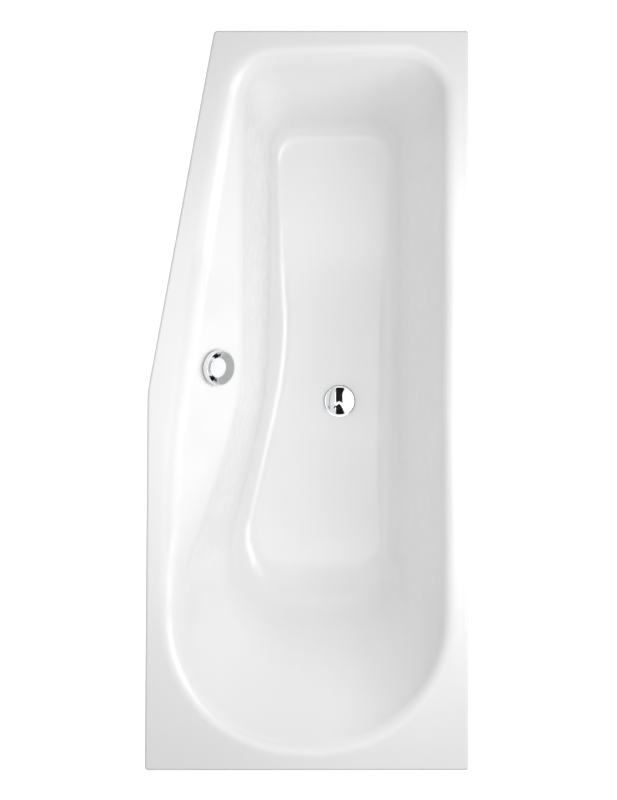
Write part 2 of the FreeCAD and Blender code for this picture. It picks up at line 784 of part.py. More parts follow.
def rail_nuts():
    bore = STUD_RADIUS + RUNNING_GAP
    nut = hex_nut(STUD_NUT_FLATS, bore, WEB_UNDER_Z - STUD_NUT, WEB_UNDER_Z)
    nut = nut.fuse(tube(STUD_NUT_FLANGE_RADIUS, bore, WEB_UNDER_Z - STUD_NUT_FLANGE, WEB_UNDER_Z))
    return Part.makeCompound([moved(nut, place) for place in STUD_PLACES])


def spindle_nuts(low, high):
    nut = hex_nut(SPINDLE_NUT_FLATS, SPINDLE_RADIUS + RUNNING_GAP, low, high)
    return Part.makeCompound([moved(nut, place) for place in FOOT_PLACES])


def foot_sole():
    """Rubber sole with a raised lip that holds the cup."""
    lip_bore = CUP_RADIUS + RUNNING_GAP
    sole = tube(SOLE_RADIUS, 0, 0, SOLE_THICKNESS)
    return sole.fuse(tube(SOLE_RADIUS, lip_bore, SOLE_THICKNESS, SOLE_THICKNESS + SOLE_LIP))


def foot_cup():
    """Plastic cup: a broad base that narrows to the socket of the spindle."""
    top = SOLE_THICKNESS + CUP_HEIGHT
    socket = SPINDLE_RADIUS + RUNNING_GAP
    socket_floor = SOLE_THICKNESS + CUP_FLOOR
    return turned((
        (0, SOLE_THICKNESS),
        (CUP_RADIUS, SOLE_THICKNESS),
        (CUP_RADIUS, SOLE_THICKNESS + CUP_RIM),
        (CUP_NECK_RADIUS, top),
        (socket, top),
        (socket, socket_floor),
        (0, socket_floor),
    ))


def foot_spindle():
    """Levelling spindle with a turning collar above the cup and a hexagon at its top."""
    base = SOLE_THICKNESS + CUP_FLOOR
    collar = SOLE_THICKNESS + CUP_HEIGHT
    shaft = tube(SPINDLE_RADIUS, 0, base, SPINDLE_TOP_Z - SPINDLE_DRIVE)
    drive = hexagon(SPINDLE_DRIVE_FLATS, SPINDLE_TOP_Z - SPINDLE_DRIVE, SPINDLE_TOP_Z)
    return shaft.fuse(drive).fuse(hexagon(SPINDLE_COLLAR_FLATS, collar, collar + SPINDLE_COLLAR))


# Heights in the waste, from the floor down
FLANGE_Z = FLOOR_Z + FLANGE_GASKET
BODY_TOP_Z = FLOOR_UNDER_Z - BODY_GASKET
PLUG_Z = FLANGE_Z + FLANGE_THICKNESS + PLUG_SEAL
SLEEVE_BOTTOM_Z = FLOOR_Z - SLEEVE_DROP
GUIDE_TOP_Z = FLOOR_Z - GUIDE_DROP
GUIDE_BOTTOM_Z = GUIDE_TOP_Z - GUIDE_LENGTH
NECK_BOTTOM_Z = FLOOR_Z - NECK_DROP
POT_BOTTOM_Z = FLOOR_Z - POT_DROP
SPIGOT_Z = POT_BOTTOM_Z - SPIGOT_LENGTH
PORT_Z = FLOOR_Z - PORT_DROP
GLAND_Z = FLOOR_Z - GLAND_DROP
STEM_BOTTOM_Z = FLOOR_Z - STEM_DROP


def drain_flange():
    """Chrome ring with a threaded sleeve and a three-spoked guide for the plug's stem."""
    top = FLANGE_Z + FLANGE_THICKNESS
    body = turned((
        (SLEEVE_BORE, SLEEVE_BOTTOM_Z),
        (SLEEVE_RADIUS, SLEEVE_BOTTOM_Z),
        (SLEEVE_RADIUS, FLANGE_Z),
        (FLANGE_RADIUS, FLANGE_Z),
        (FLANGE_RADIUS, FLANGE_Z + FLANGE_THICKNESS / 2),
        (FLANGE_RADIUS - FLANGE_THICKNESS / 2, top),
        (SLEEVE_BORE, top),
    ))
    guide = tube(GUIDE_RADIUS, 0, GUIDE_BOTTOM_Z, GUIDE_TOP_Z)
    spoke = Part.makeBox((SLEEVE_RADIUS + SLEEVE_BORE) / 2, SPOKE_WIDTH, GUIDE_TOP_Z - GUIDE_BOTTOM_Z)
    spoke.translate(Vector(0, -SPOKE_WIDTH / 2, GUIDE_BOTTOM_Z))
    for step in range(SPOKE_COUNT):
        turn = spoke.copy()
        turn.rotate(Vector(), UP, 360 * step / SPOKE_COUNT)
        guide = guide.fuse(turn)
    bore = tube(STEM_RADIUS + RUNNING_GAP, 0, GUIDE_BOTTOM_Z - OVERRUN, GUIDE_TOP_Z + OVERRUN)
    return moved(body.fuse(guide).cut(bore).removeSplitter(), DRAIN)


def flange_gasket():
    ring = tube(FLANGE_RADIUS - FLANGE_GASKET_INSET, SLEEVE_RADIUS + HOLE_PLAY, FLOOR_Z, FLANGE_Z)
    return moved(ring, DRAIN)


def body_gasket():
    ring = tube(BODY_FLANGE_RADIUS - BODY_GASKET_INSET, SLEEVE_RADIUS + HOLE_PLAY, BODY_TOP_Z, FLOOR_UNDER_Z)
    return moved(ring, DRAIN)


# Overflow body behind the shoulder: where its tail pipe starts, and how it lies to the drain
TAIL = OVERFLOW - OVERFLOW_AXIS * TAIL_DEPTH
TAIL_END_Z = TAIL.z - TAIL_DROP
PORT_WAY = level(TAIL - DRAIN)
CABLE_SIDE = PORT_WAY.cross(UP)
CABLE_TOP = TAIL + CABLE_SIDE * CABLE_BOSS_OFFSET - UP * CABLE_BOSS_DROP
GLAND_WAY = FreeCAD.Rotation(UP, -GLAND_ANGLE).multVec(PORT_WAY)
GLAND_PLACE = DRAIN + UP * GLAND_Z

# Lever: it hangs half its swing below level at rest
HALF_SWING = math.radians(LEVER_SWING / 2)
NOSE_Z = STEM_BOTTOM_Z - SEAT_GAP - LEVER_NOSE_RADIUS
PIVOT_X = LEVER_ARM * math.cos(HALF_SWING)
PIVOT_Z = NOSE_Z + LEVER_ARM * math.sin(HALF_SWING)
PLUG_LIFT = 2 * LEVER_ARM * math.sin(HALF_SWING)


def across_y(radius, half_width):
    """Bar along Y, centred on the origin."""
    return Part.makeCylinder(radius, 2 * half_width, NORTH * -half_width, NORTH)


def pivot_half_width():
    return math.sqrt(POT_RADIUS ** 2 - PIVOT_X ** 2) - PIN_SETBACK


def drain_body():
    """Waste pot: flange and threaded neck above, overflow port and cable boss beside, spigot below."""
    body = turned((
        (SLEEVE_RADIUS + RUNNING_GAP, BODY_TOP_Z),
        (BODY_FLANGE_RADIUS, BODY_TOP_Z),
        (BODY_FLANGE_RADIUS, BODY_TOP_Z - BODY_FLANGE),
        (POT_RADIUS, BODY_TOP_Z - BODY_FLANGE),
        (POT_RADIUS, POT_BOTTOM_Z),
        (SPIGOT_RADIUS, POT_BOTTOM_Z),
        (SPIGOT_RADIUS, SPIGOT_Z),
        (SPIGOT_BORE, SPIGOT_Z),
        (SPIGOT_BORE, POT_BOTTOM_Z + POT_WALL),
        (POT_RADIUS - POT_WALL, POT_BOTTOM_Z + POT_WALL),
        (POT_RADIUS - POT_WALL, NECK_BOTTOM_Z),
        (SLEEVE_RADIUS + RUNNING_GAP, NECK_BOTTOM_Z),
    ))
    inside = POT_RADIUS - POT_WALL / 2
    wall_cut = POT_RADIUS - POT_WALL - OVERRUN
    branches = (
        (PORT_WAY, PORT_Z, PORT_RADIUS, PORT_BORE, PORT_REACH),
        (GLAND_WAY, GLAND_Z, GLAND_BOSS_RADIUS, CABLE_RADIUS, GLAND_BOSS_REACH),
    )
    hollow = tube(POT_RADIUS - POT_WALL, 0, POT_BOTTOM_Z + POT_WALL, NECK_BOTTOM_Z)
    for way, z, outer, inner, reach in branches:
        branch = aimed(tube(outer, 0, 0, reach), UP * z, way)
        body = body.fuse(branch.cut(tube(inside, 0, POT_BOTTOM_Z, BODY_TOP_Z)))
        body = body.cut(aimed(tube(inner, 0, wall_cut - outer, reach + OVERRUN), UP * z, way))
    body = body.cut(hollow)
    pin_hole = across_y(PIN_RADIUS + RUNNING_GAP, POT_RADIUS)
    body = body.cut(moved(pin_hole, Vector(PIVOT_X, 0, PIVOT_Z)))
    return moved(body.removeSplitter(), DRAIN)


def lever_pin():
    return moved(across_y(PIN_RADIUS, pivot_half_width()), DRAIN + Vector(PIVOT_X, 0, PIVOT_Z))


def lift_lever():
    """Rocker on the pin: a round nose under the stem and a short tail for the cable's wire."""
    half = LEVER_WIDTH / 2
    pivot = Vector(PIVOT_X, 0, PIVOT_Z)
    nose = Vector(0, 0, NOSE_Z)
    way = unit(nose - pivot)
    length = LEVER_ARM + LEVER_TAIL
    arm = Part.makeBox(length, LEVER_WIDTH, LEVER_THICKNESS)
    arm.translate(Vector(0, -half, -LEVER_THICKNESS / 2))
    arm.Placement = FreeCAD.Placement(nose, FreeCAD.Rotation(EAST, -way)).multiply(arm.Placement)
    lever = arm.fuse(moved(across_y(LEVER_NOSE_RADIUS, half), nose))
    lever = lever.fuse(moved(across_y(LEVER_HUB_RADIUS, half), pivot))
    lever = lever.cut(moved(across_y(PIN_RADIUS + RUNNING_GAP, LEVER_WIDTH), pivot))
    return moved(lever.removeSplitter(), DRAIN)


def plug_cover():
    """Chrome cap: a low dome with a rounded edge."""
    top = PLUG_Z + PLUG_EDGE + PLUG_RISE
    dome_radius = (PLUG_RADIUS ** 2 + PLUG_RISE ** 2) / (2 * PLUG_RISE)
    dome = Part.makeSphere(dome_radius, UP * (top - dome_radius))
    cap = tube(PLUG_RADIUS, 0, PLUG_Z, top).common(dome)
    edge = flat_edges(cap, PLUG_Z + PLUG_EDGE)
    return moved(cap.makeFillet(PLUG_EDGE_ROUND, edge), DRAIN)


def plug_seal():
    return moved(tube(PLUG_SEAL_RADIUS, PLUG_SEAL_BORE, PLUG_Z - PLUG_SEAL, PLUG_Z), DRAIN)


def plug_stem():
    head = tube(STEM_HEAD_RADIUS, 0, PLUG_Z - STEM_HEAD, PLUG_Z)
    return moved(head.fuse(tube(STEM_RADIUS, 0, STEM_BOTTOM_Z, PLUG_Z - STEM_HEAD)), DRAIN)


def cable_gland(place, way):
    """Hexagonal gland that holds the cable's sheath against a boss."""
    return aimed(hex_nut(GLAND_FLATS, CABLE_RADIUS + RUNNING_GAP, 0, GLAND_LENGTH), place, way)


# Depths in the overflow, along its axis
RING_Z = FLUSH_GAP + RING_GASKET
KNOB_Z = RING_Z + RING_THICKNESS + KNOB_LIFT
KNOB_BACK_Z = KNOB_Z + KNOB_HEIGHT - KNOB_DISH - KNOB_WALL
OVERFLOW_BODY_Z = -SHEET - FLUSH_GAP - REAR_GASKET


def on_overflow(shape):
    return aimed(shape, OVERFLOW, OVERFLOW_AXIS)


def ring_gasket():
    return on_overflow(tube(RING_GASKET_RADIUS, RING_SLEEVE_RADIUS + HOLE_PLAY, FLUSH_GAP, RING_Z))


def overflow_ring():
    """Trim ring: a flange on the shoulder, a threaded sleeve through it, and a spoked bearing."""
    top = RING_Z + RING_THICKNESS
    low = RING_Z - RING_SLEEVE_LENGTH
    body = turned((
        (RING_SLEEVE_BORE, low),
        (RING_SLEEVE_RADIUS, low),
        (RING_SLEEVE_RADIUS, RING_Z),
        (RING_RADIUS, RING_Z),
        (RING_RADIUS, top - RING_EDGE),
        (RING_RADIUS - RING_EDGE, top),
        (RING_SLEEVE_BORE, top),
    ))
    hub_low = top - RING_HUB_LENGTH
    hub = tube(RING_HUB_RADIUS, 0, hub_low, top)
    spoke = Part.makeBox((RING_SLEEVE_RADIUS + RING_SLEEVE_BORE) / 2, SPOKE_WIDTH, RING_HUB_LENGTH)
    spoke.translate(Vector(0, -SPOKE_WIDTH / 2, hub_low))
    for step in range(SPOKE_COUNT):
        turn = spoke.copy()
        turn.rotate(Vector(), UP, 360 * step / SPOKE_COUNT)
        hub = hub.fuse(turn)
    bore = tube(SPINDLE_SHAFT_RADIUS + RUNNING_GAP, 0, low, top + OVERRUN)
    return on_overflow(body.fuse(hub).cut(bore).removeSplitter())


def overflow_knob():
    """Turning knob: a dish with a flat disc at its bottom and a straight outer wall."""
    top = KNOB_Z + KNOB_HEIGHT
    disc = top - KNOB_DISH
    lip = KNOB_RADIUS - KNOB_LIP
    knob = turned((
        (0, KNOB_BACK_Z),
        (KNOB_DISC_RADIUS, KNOB_BACK_Z),
        (lip - KNOB_WALL / 2, top - KNOB_WALL - KNOB_LIP),
        (lip - KNOB_WALL / 2, KNOB_Z),
        (KNOB_RADIUS, KNOB_Z),
        (KNOB_RADIUS, top),
        (lip, top),
        (KNOB_DISC_RADIUS, disc),
        (0, disc),
    ))
    rim = [edge for edge in flat_edges(knob, top) if edge.BoundBox.XLength > 2 * lip + KNOB_LIP]
    return on_overflow(knob.makeFillet(KNOB_LIP_ROUND, rim))


def knob_spindle():
    low = -DRUM_DEPTH - DRUM_WIDTH - SPINDLE_TIP
    return on_overflow(tube(SPINDLE_SHAFT_RADIUS, 0, low, KNOB_BACK_Z))


def cable_drum():
    """Grooved wheel on the spindle that winds the cable's wire."""
    bore = SPINDLE_SHAFT_RADIUS + RUNNING_GAP
    low = -DRUM_DEPTH - DRUM_WIDTH
    high = -DRUM_DEPTH
    middle = -DRUM_DEPTH - DRUM_WIDTH / 2
    return on_overflow(turned((
        (bore, low),
        (DRUM_RADIUS, low),
        (DRUM_RADIUS - DRUM_GROOVE, middle),
        (DRUM_RADIUS, high),
        (bore, high),
    )))


def rear_gasket():
    ring = tube(OVERFLOW_FLANGE_RADIUS - REAR_GASKET_INSET, RING_SLEEVE_RADIUS + HOLE_PLAY,
                OVERFLOW_BODY_Z, OVERFLOW_BODY_Z + REAR_GASKET)
    return on_overflow(ring)


def overflow_body():
    """Chamber behind the shoulder, with a plumb tail out of its back and a boss for the cable."""
    inner = OVERFLOW_BODY_RADIUS - OVERFLOW_BODY_WALL
    thread = RING_SLEEVE_RADIUS + RUNNING_GAP
    low = -OVERFLOW_BODY_DEPTH
    chamber = on_overflow(turned((
        (0, OVERFLOW_BODY_Z),
        (OVERFLOW_FLANGE_RADIUS, OVERFLOW_BODY_Z),
        (OVERFLOW_FLANGE_RADIUS, OVERFLOW_BODY_Z - OVERFLOW_FLANGE),
        (OVERFLOW_BODY_RADIUS, OVERFLOW_BODY_Z - OVERFLOW_FLANGE),
        (OVERFLOW_BODY_RADIUS, low),
        (0, low),
    )))
    tail = moved(tube(PORT_RADIUS, 0, -TAIL_DROP, 0), TAIL)
    boss_top = TAIL + CABLE_SIDE * CABLE_BOSS_OFFSET
    boss = moved(tube(CABLE_BOSS_RADIUS, 0, -CABLE_BOSS_DROP, 0), boss_top)
    body = chamber.fuse(tail).fuse(boss)
    hollow = on_overflow(turned((
        (0, OVERFLOW_BODY_Z + OVERRUN),
        (thread, OVERFLOW_BODY_Z + OVERRUN),
        (thread, -OVERFLOW_NECK_DEPTH),
        (inner, -OVERFLOW_NECK_DEPTH),
        (inner, low + OVERFLOW_BODY_WALL),
        (0, low + OVERFLOW_BODY_WALL),
    )))
    tail_bore = moved(tube(PORT_BORE, 0, -TAIL_DROP - OVERRUN, 0), TAIL)
    return body.cut(hollow).cut(tail_bore).removeSplitter()


# Overflow pipe: plumb from the overflow's tail, then level to the drain's port
PIPE_TOP = Vector(TAIL.x, TAIL.y, TAIL_END_Z - PIPE_SEAL)
PIPE_CORNER = Vector(TAIL.x, TAIL.y, PORT_Z)
PORT_END = DRAIN + UP * PORT_Z + PORT_WAY * PORT_REACH
PIPE_END = PORT_END + PORT_WAY * PIPE_SEAL


def overflow_pipe():
    path = route_wire([PIPE_TOP, PIPE_CORNER, PIPE_END], (0, PIPE_BEND_SETBACK, 0))
    return pipe_along(path, PIPE_RADIUS, PIPE_BORE)


def pipe_nut():
    return union_nut(PORT_RADIUS + RUNNING_GAP, PIPE_RADIUS + SEAT_GAP)


def pipe_top_nut():
    return moved(pipe_nut(), PIPE_TOP)


def pipe_bottom_nut():
    return aimed(pipe_nut(), PIPE_END, -PORT_WAY)


def pipe_seals():
    seal = tube(PORT_RADIUS, PORT_BORE, 0, PIPE_SEAL)
    return Part.makeCompound([moved(seal, PIPE_TOP), aimed(seal, PIPE_END, -PORT_WAY)])


def control_cable():
    """Sheathed pull cable, whole, from the overflow's boss to the boss of the drain."""
    corner = Vector(CABLE_TOP.x, CABLE_TOP.y, GLAND_Z)
    turn = GLAND_PLACE + GLAND_WAY * CABLE_TURN_REACH
    end = GLAND_PLACE + GLAND_WAY * GLAND_BOSS_REACH
    setbacks = (0, CABLE_BEND_SETBACK, CABLE_TURN_SETBACK, 0)
    path = route_wire([CABLE_TOP, corner, turn, end], setbacks)
    cable = swept(path, CABLE_RADIUS)
    section = math.pi * CABLE_RADIUS ** 2
    print("cable length", round(path.Length, 1), "volume share", round(cable.Volume / section / path.Length, 4))
    return cable


# Trap: down from the spigot, round the bend towards the head end, up to the elbow
TRAP_TOP_Z = SPIGOT_Z - TRAP_SEAL
BEND_Z = TRAP_TOP_Z - TRAP_COLLAR - TRAP_LEG
RISER = DRAIN - NORTH * (2 * TRAP_BEND_RADIUS)
RISER_TOP_Z = BEND_Z + RISER_SPIGOT
ELBOW_Z = RISER_TOP_Z + TRAP_SEAL
OUTLET_Z = ELBOW_Z + ELBOW_LEG + ELBOW_RADIUS
OUTLET_END = Vector(DRAIN.x + OUTLET_REACH, RISER.y, OUTLET_Z)
BEND_LOW = DRAIN - NORTH * TRAP_BEND_RADIUS + UP * (BEND_Z - TRAP_BEND_RADIUS)


def bend_path(low, high):
    """U of the trap's centre line, between a height on the inlet leg and one on the riser."""
    inlet = DRAIN + UP * BEND_Z
    outlet = RISER + UP * BEND_Z
    edges = [
        Part.LineSegment(DRAIN + UP * low, inlet).toShape(),
        Part.Arc(inlet, BEND_LOW, outlet).toShape(),
        Part.LineSegment(outlet, RISER + UP * high).toShape(),
    ]
    return Part.Wire(edges)


def trap_bend():
    """U-bend with a collar at its inlet, a threaded riser and a boss for cleaning."""
    path = bend_path(TRAP_TOP_Z, RISER_TOP_Z)
    bend = swept(path, TRAP_RADIUS)
    bend = bend.fuse(moved(tube(TRAP_COLLAR_RADIUS, 0, TRAP_TOP_Z - TRAP_COLLAR, TRAP_TOP_Z), DRAIN))
    bend = bend.fuse(moved(tube(SPIGOT_RADIUS, 0, BEND_Z, RISER_TOP_Z), RISER))
    bend = bend.fuse(aimed(tube(CLEANER_BOSS_RADIUS, 0, 0, CLEANER_BOSS_REACH), BEND_LOW, -EAST))
    bend = bend.cut(swept(path, TRAP_BORE))
    bore = tube(CLEANER_BORE, 0, 0, CLEANER_BOSS_REACH + OVERRUN)
    return bend.cut(aimed(bore, BEND_LOW, -EAST)).removeSplitter()


def cleaning_plug():
    """Screw plug of the cleaning boss, slotted for a coin."""
    face = CLEANER_BOSS_REACH
    plug = tube(CLEANER_CAP_RADIUS, 0, face, face + CLEANER_CAP)
    plug = plug.fuse(tube(CLEANER_BORE - RUNNING_GAP, 0, face - CLEANER_PLUG_LENGTH, face))
    slot = Part.makeBox(2 * CLEANER_CAP_RADIUS, CLEANER_SLOT, CLEANER_CAP / 2)
    slot.translate(Vector(-CLEANER_CAP_RADIUS, -CLEANER_SLOT / 2, face + CLEANER_CAP / 2))
    return aimed(plug.cut(slot), BEND_LOW, -EAST)


def trap_outlet():
    """Elbow from the riser to the level outlet spigot, with a collar under its nut."""
    foot = RISER + UP * ELBOW_Z
    corner = RISER + UP * OUTLET_Z
    path = route_wire([foot, corner, OUTLET_END], (0, ELBOW_RADIUS, 0))
    collar = moved(tube(TRAP_COLLAR_RADIUS, 0, ELBOW_Z, ELBOW_Z + TRAP_COLLAR), RISER)
    return swept(path, TRAP_RADIUS).fuse(collar).cut(swept(path, TRAP_BORE)).removeSplitter()


def trap_nut():
    return union_nut(SPIGOT_RADIUS + RUNNING_GAP, TRAP_RADIUS + SEAT_GAP)


def trap_inlet_nut():
    return moved(trap_nut(), DRAIN + UP * (TRAP_TOP_Z - TRAP_COLLAR))


def trap_outlet_nut():
    return aimed(trap_nut(), RISER + UP * (ELBOW_Z + TRAP_COLLAR), -UP)


def trap_seals():
    inlet = tube(TRAP_COLLAR_RADIUS, TRAP_BORE, TRAP_TOP_Z, SPIGOT_Z)
    outlet = tube(TRAP_COLLAR_RADIUS, TRAP_BORE, RISER_TOP_Z, ELBOW_Z)
    return Part.makeCompound([moved(inlet, DRAIN), moved(outlet, RISER)])


def export(name, shape):
    if not shape.isValid():
        print("not valid:", name)
    shape.exportStep(os.path.join("parts", name + ".step"))


pieces = {
    "bath_shell": holed_shell(),
    "floor_pads": floor_pads(),
    "earth_tab": earth_tab(),
    "earth_bolt": earth_bolt(),
    "earth_nut": earth_nut(),
    "foot_rail": rail(RAIL_YS[0]),
    "head_rail": rail(RAIL_YS[1]),
    "rail_strips": rail_strips(),
    "rail_studs": rail_studs(),
    "rail_nuts": rail_nuts(),
    "spindle_weld_nuts": spindle_nuts(WEB_UNDER_Z - WELD_NUT, WEB_UNDER_Z),
    "spindle_lock_nuts": spindle_nuts(RAIL_TOP_Z, RAIL_TOP_Z + LOCK_NUT),
    "drain_flange": drain_flange(),
    "flange_gasket": flange_gasket(),
    "body_gasket": body_gasket(),
    "drain_body": drain_body(),
    "drain_cable_gland": cable_gland(GLAND_PLACE + GLAND_WAY * GLAND_BOSS_REACH, GLAND_WAY),
    "plug_cover": plug_cover(),
    "plug_seal": plug_seal(),
    "plug_stem": plug_stem(),
    "lift_lever": lift_lever(),
    "lever_pin": lever_pin(),
    "overflow_knob": overflow_knob(),
    "overflow_ring": overflow_ring(),
    "ring_gasket": ring_gasket(),
    "rear_gasket": rear_gasket(),
    "overflow_body": overflow_body(),
    "overflow_cable_gland": cable_gland(CABLE_TOP, -UP),
    "knob_spindle": knob_spindle(),
    "cable_drum": cable_drum(),
    "control_cable": control_cable(),
    "overflow_pipe": overflow_pipe(),
    "pipe_top_nut": pipe_top_nut(),
    "pipe_bottom_nut": pipe_bottom_nut(),
    "pipe_seals": pipe_seals(),
    "trap_inlet_nut": trap_inlet_nut(),
    "trap_bend": trap_bend(),
    "cleaning_plug": cleaning_plug(),
    "trap_outlet_nut": trap_outlet_nut(),
    "trap_outlet": trap_outlet(),
    "trap_seals": trap_seals(),
}
for foot_name, foot_place in zip(FOOT_NAMES, FOOT_PLACES):
    pieces[foot_name + "_spindle"] = moved(foot_spindle(), foot_place)
    pieces[foot_name + "_cup"] = moved(foot_cup(), foot_place)
    pieces[foot_name + "_sole"] = moved(foot_sole(), foot_place)
for piece_name, piece_shape in pieces.items():
    export(piece_name, piece_shape)
print("plug lift", round(PLUG_LIFT, 3))
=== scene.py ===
# %% [markdown]
# A built-in bath for a small bathroom, seen straight from above. The bath is one pressed steel
# sheet with white enamel on it. It stands on a foot frame and carries a turning knob, a pop-up
# plug, an overflow pipe and a trap. The solid model comes in as a fixed frame, in metres. This
# lesson gives each piece its finish, and builds again the pieces whose gloss would show the flat
# facets of the solid model and those whose threads it leaves out.

# %% Load the frame
import json
import math

import bmesh
import bpy
from mathutils import Matrix, Vector
from mathutils.geometry import delaunay_2d_cdt


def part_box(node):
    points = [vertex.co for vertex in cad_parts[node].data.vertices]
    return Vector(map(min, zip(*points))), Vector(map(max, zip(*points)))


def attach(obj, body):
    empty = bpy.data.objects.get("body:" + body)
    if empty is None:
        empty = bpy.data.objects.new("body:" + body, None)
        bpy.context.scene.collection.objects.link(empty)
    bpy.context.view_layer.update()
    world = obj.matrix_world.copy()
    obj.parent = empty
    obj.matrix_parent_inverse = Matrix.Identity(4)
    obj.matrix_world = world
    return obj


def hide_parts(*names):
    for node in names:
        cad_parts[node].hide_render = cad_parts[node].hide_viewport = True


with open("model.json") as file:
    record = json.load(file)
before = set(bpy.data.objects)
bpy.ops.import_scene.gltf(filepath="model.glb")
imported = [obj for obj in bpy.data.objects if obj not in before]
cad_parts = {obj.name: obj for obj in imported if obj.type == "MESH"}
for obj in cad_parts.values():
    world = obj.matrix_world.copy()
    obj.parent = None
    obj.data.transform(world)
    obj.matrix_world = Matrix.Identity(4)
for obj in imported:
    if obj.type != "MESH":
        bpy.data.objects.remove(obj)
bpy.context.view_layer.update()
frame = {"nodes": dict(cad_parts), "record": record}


def add_object(name, data):
    """Object of the scene for a mesh, a lamp or a camera."""
    made = bpy.data.objects.new(name, data)
    bpy.context.scene.collection.objects.link(made)
    return made


print("pieces in the frame:", len(frame["nodes"]))

# %% [markdown]
# The camera looks straight down. A very long lens far away keeps the walls of the bath from
# leaning, as in a catalogue picture. The frame is 617 by 800 pixels, and one pixel on the rim is
# 2.162 mm wide.

# %% Camera
MM = 0.001
IMAGE_HEIGHT = 800
PIXEL = 2.162 * MM
LENS = 1000.0
SENSOR = 36.0
RIM_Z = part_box("bath_shell")[1].z
VIEW_CENTRE = Vector((4.3 * MM, 1.1 * MM, RIM_Z))

camera_data = bpy.data.cameras.new("top_camera")
camera_data.lens = LENS
camera_data.sensor_width = SENSOR
camera = add_object("top_camera", camera_data)
camera_distance = IMAGE_HEIGHT * PIXEL * LENS / SENSOR
camera.location = VIEW_CENTRE + Vector((0, 0, camera_distance))
camera_data.clip_end = 2 * camera_distance
bpy.context.scene.camera = camera
bpy.context.scene.view_settings.view_transform = "Standard"
print("camera height above the rim:", round(camera_distance, 2), "m")

# %% [markdown]
# White on white needs soft light with a direction. A broad softbox stands on the wall side, so the
# free side of the basin, which faces it, is the brightest, and the wall side is the greyest. Two
# weaker ones fill in from the top and from the free side. The world adds light from all round. It
# is brighter to the camera and to mirrors than to dull surfaces, so the background is white without
# more light on the bath.

# %% World and background
AMBIENT = 0.45
BACKGROUND = 1.15


def seen_directly(tree):
    """1 for what the camera, a mirror or glass sees, and 0 for the light on dull surfaces."""
    path = tree.nodes.new("ShaderNodeLightPath")
    first = tree.nodes.new("ShaderNodeMath")
    first.operation = "MAXIMUM"
    second = tree.nodes.new("ShaderNodeMath")
    second.operation = "MAXIMUM"
    tree.links.new(path.outputs["Is Camera Ray"], first.inputs[0])
    tree.links.new(path.outputs["Is Glossy Ray"], first.inputs[1])
    tree.links.new(first.outputs[0], second.inputs[0])
    tree.links.new(path.outputs["Is Transmission Ray"], second.inputs[1])
    return second.outputs[0]


world = bpy.data.worlds.new("studio")
bpy.context.scene.world = world
world.use_nodes = True
world_tree = world.node_tree
background = world_tree.nodes["Background"]
background.inputs["Color"].default_value = (1, 1, 1, 1)
strength = world_tree.nodes.new("ShaderNodeMapRange")
strength.inputs["To Min"].default_value = AMBIENT
strength.inputs["To Max"].default_value = BACKGROUND
world_tree.links.new(seen_directly(world_tree), strength.inputs["Value"])
world_tree.links.new(strength.outputs["Result"], background.inputs["Strength"])
print("world:", AMBIENT, "for light,", BACKGROUND, "for the eye")

# %% [markdown]
# The floor is one large pale square. It could be left out, but then the bath would throw no shadow.
# It glows a little for the camera and for mirrors only, so it meets the white background without a
# line. It lies a hair below the soles, so that the two don't flicker where they touch.

# %% Floor
FLOOR_HALF = 30.0
FLOOR_GREY = 0.9
FLOOR_ROUGHNESS = 0.9
FLOOR_GLOW = 0.9
FLOOR_GAP = 0.5 * MM


def flat_square(name, half, place):
    """Level square that faces up."""
    mesh = bpy.data.meshes.new(name)
    signs = ((-1, -1), (1, -1), (1, 1), (-1, 1))
    corners = [Vector((sign_x * half, sign_y * half, 0)) + place for sign_x, sign_y in signs]
    mesh.from_pydata(corners, [], [range(len(corners))])
    square = add_object(name, mesh)
    return square


floor = flat_square("studio_floor", FLOOR_HALF, Vector((0, 0, -FLOOR_GAP)))
floor_paint = bpy.data.materials.new("studio_floor")
floor_paint.use_nodes = True
floor_tree = floor_paint.node_tree
floor_shader = floor_tree.nodes["Principled BSDF"]
floor_shader.inputs["Base Color"].default_value = (FLOOR_GREY, FLOOR_GREY, FLOOR_GREY, 1)
floor_shader.inputs["Roughness"].default_value = FLOOR_ROUGHNESS
floor_shader.inputs["Specular IOR Level"].default_value = 0.0
floor_shader.inputs["Emission Color"].default_value = (1, 1, 1, 1)
glow = floor_tree.nodes.new("ShaderNodeMath")
glow.operation = "MULTIPLY"
glow.inputs[1].default_value = FLOOR_GLOW
floor_tree.links.new(seen_directly(floor_tree), glow.inputs[0])
floor_tree.links.new(glow.outputs[0], floor_shader.inputs["Emission Strength"])
floor.data.materials.append(floor_paint)
print("floor:", 2 * FLOOR_HALF, "m square")

# %% [markdown]
# Three softboxes hang in a row across the bath. Point lamps or a sun would draw hard shadows into
# the basin, and one large lamp alone would flatten it. With three, each side gets its own share of
# light, and the shares set how grey each wall looks. They hang low and a grid narrows each beam, so
# both ends of the bath fall off a little.

# %% Lamps
LAMP_AIM = Vector((0.0, 0.0, 0.45))
LAMP_WIDTH = 0.9
LAMP_LENGTH = 1.2
LAMP_SPREAD = math.radians(135)
SOFTBOXES = {
    "wall_side_softbox": (Vector((1.2, 0.0, 1.75)), 8.6),
    "top_softbox": (Vector((0.2, 0.0, 1.75)), 2.95),
    "free_side_softbox": (Vector((-1.2, 0.0, 1.75)), 0.65),
}


def softbox(name, place, power):
    lamp = bpy.data.lights.new(name, "AREA")
    lamp.shape = "RECTANGLE"
    lamp.size = LAMP_WIDTH
    lamp.size_y = LAMP_LENGTH
    lamp.energy = power
    lamp.spread = LAMP_SPREAD
    holder = add_object(name, lamp)
    holder.location = place
    holder.rotation_euler = (place - LAMP_AIM).to_track_quat("Z", "Y").to_euler()


for softbox_name, (softbox_place, softbox_power) in SOFTBOXES.items():
    softbox(softbox_name, softbox_place, softbox_power)
print("lamps:", len(SOFTBOXES))

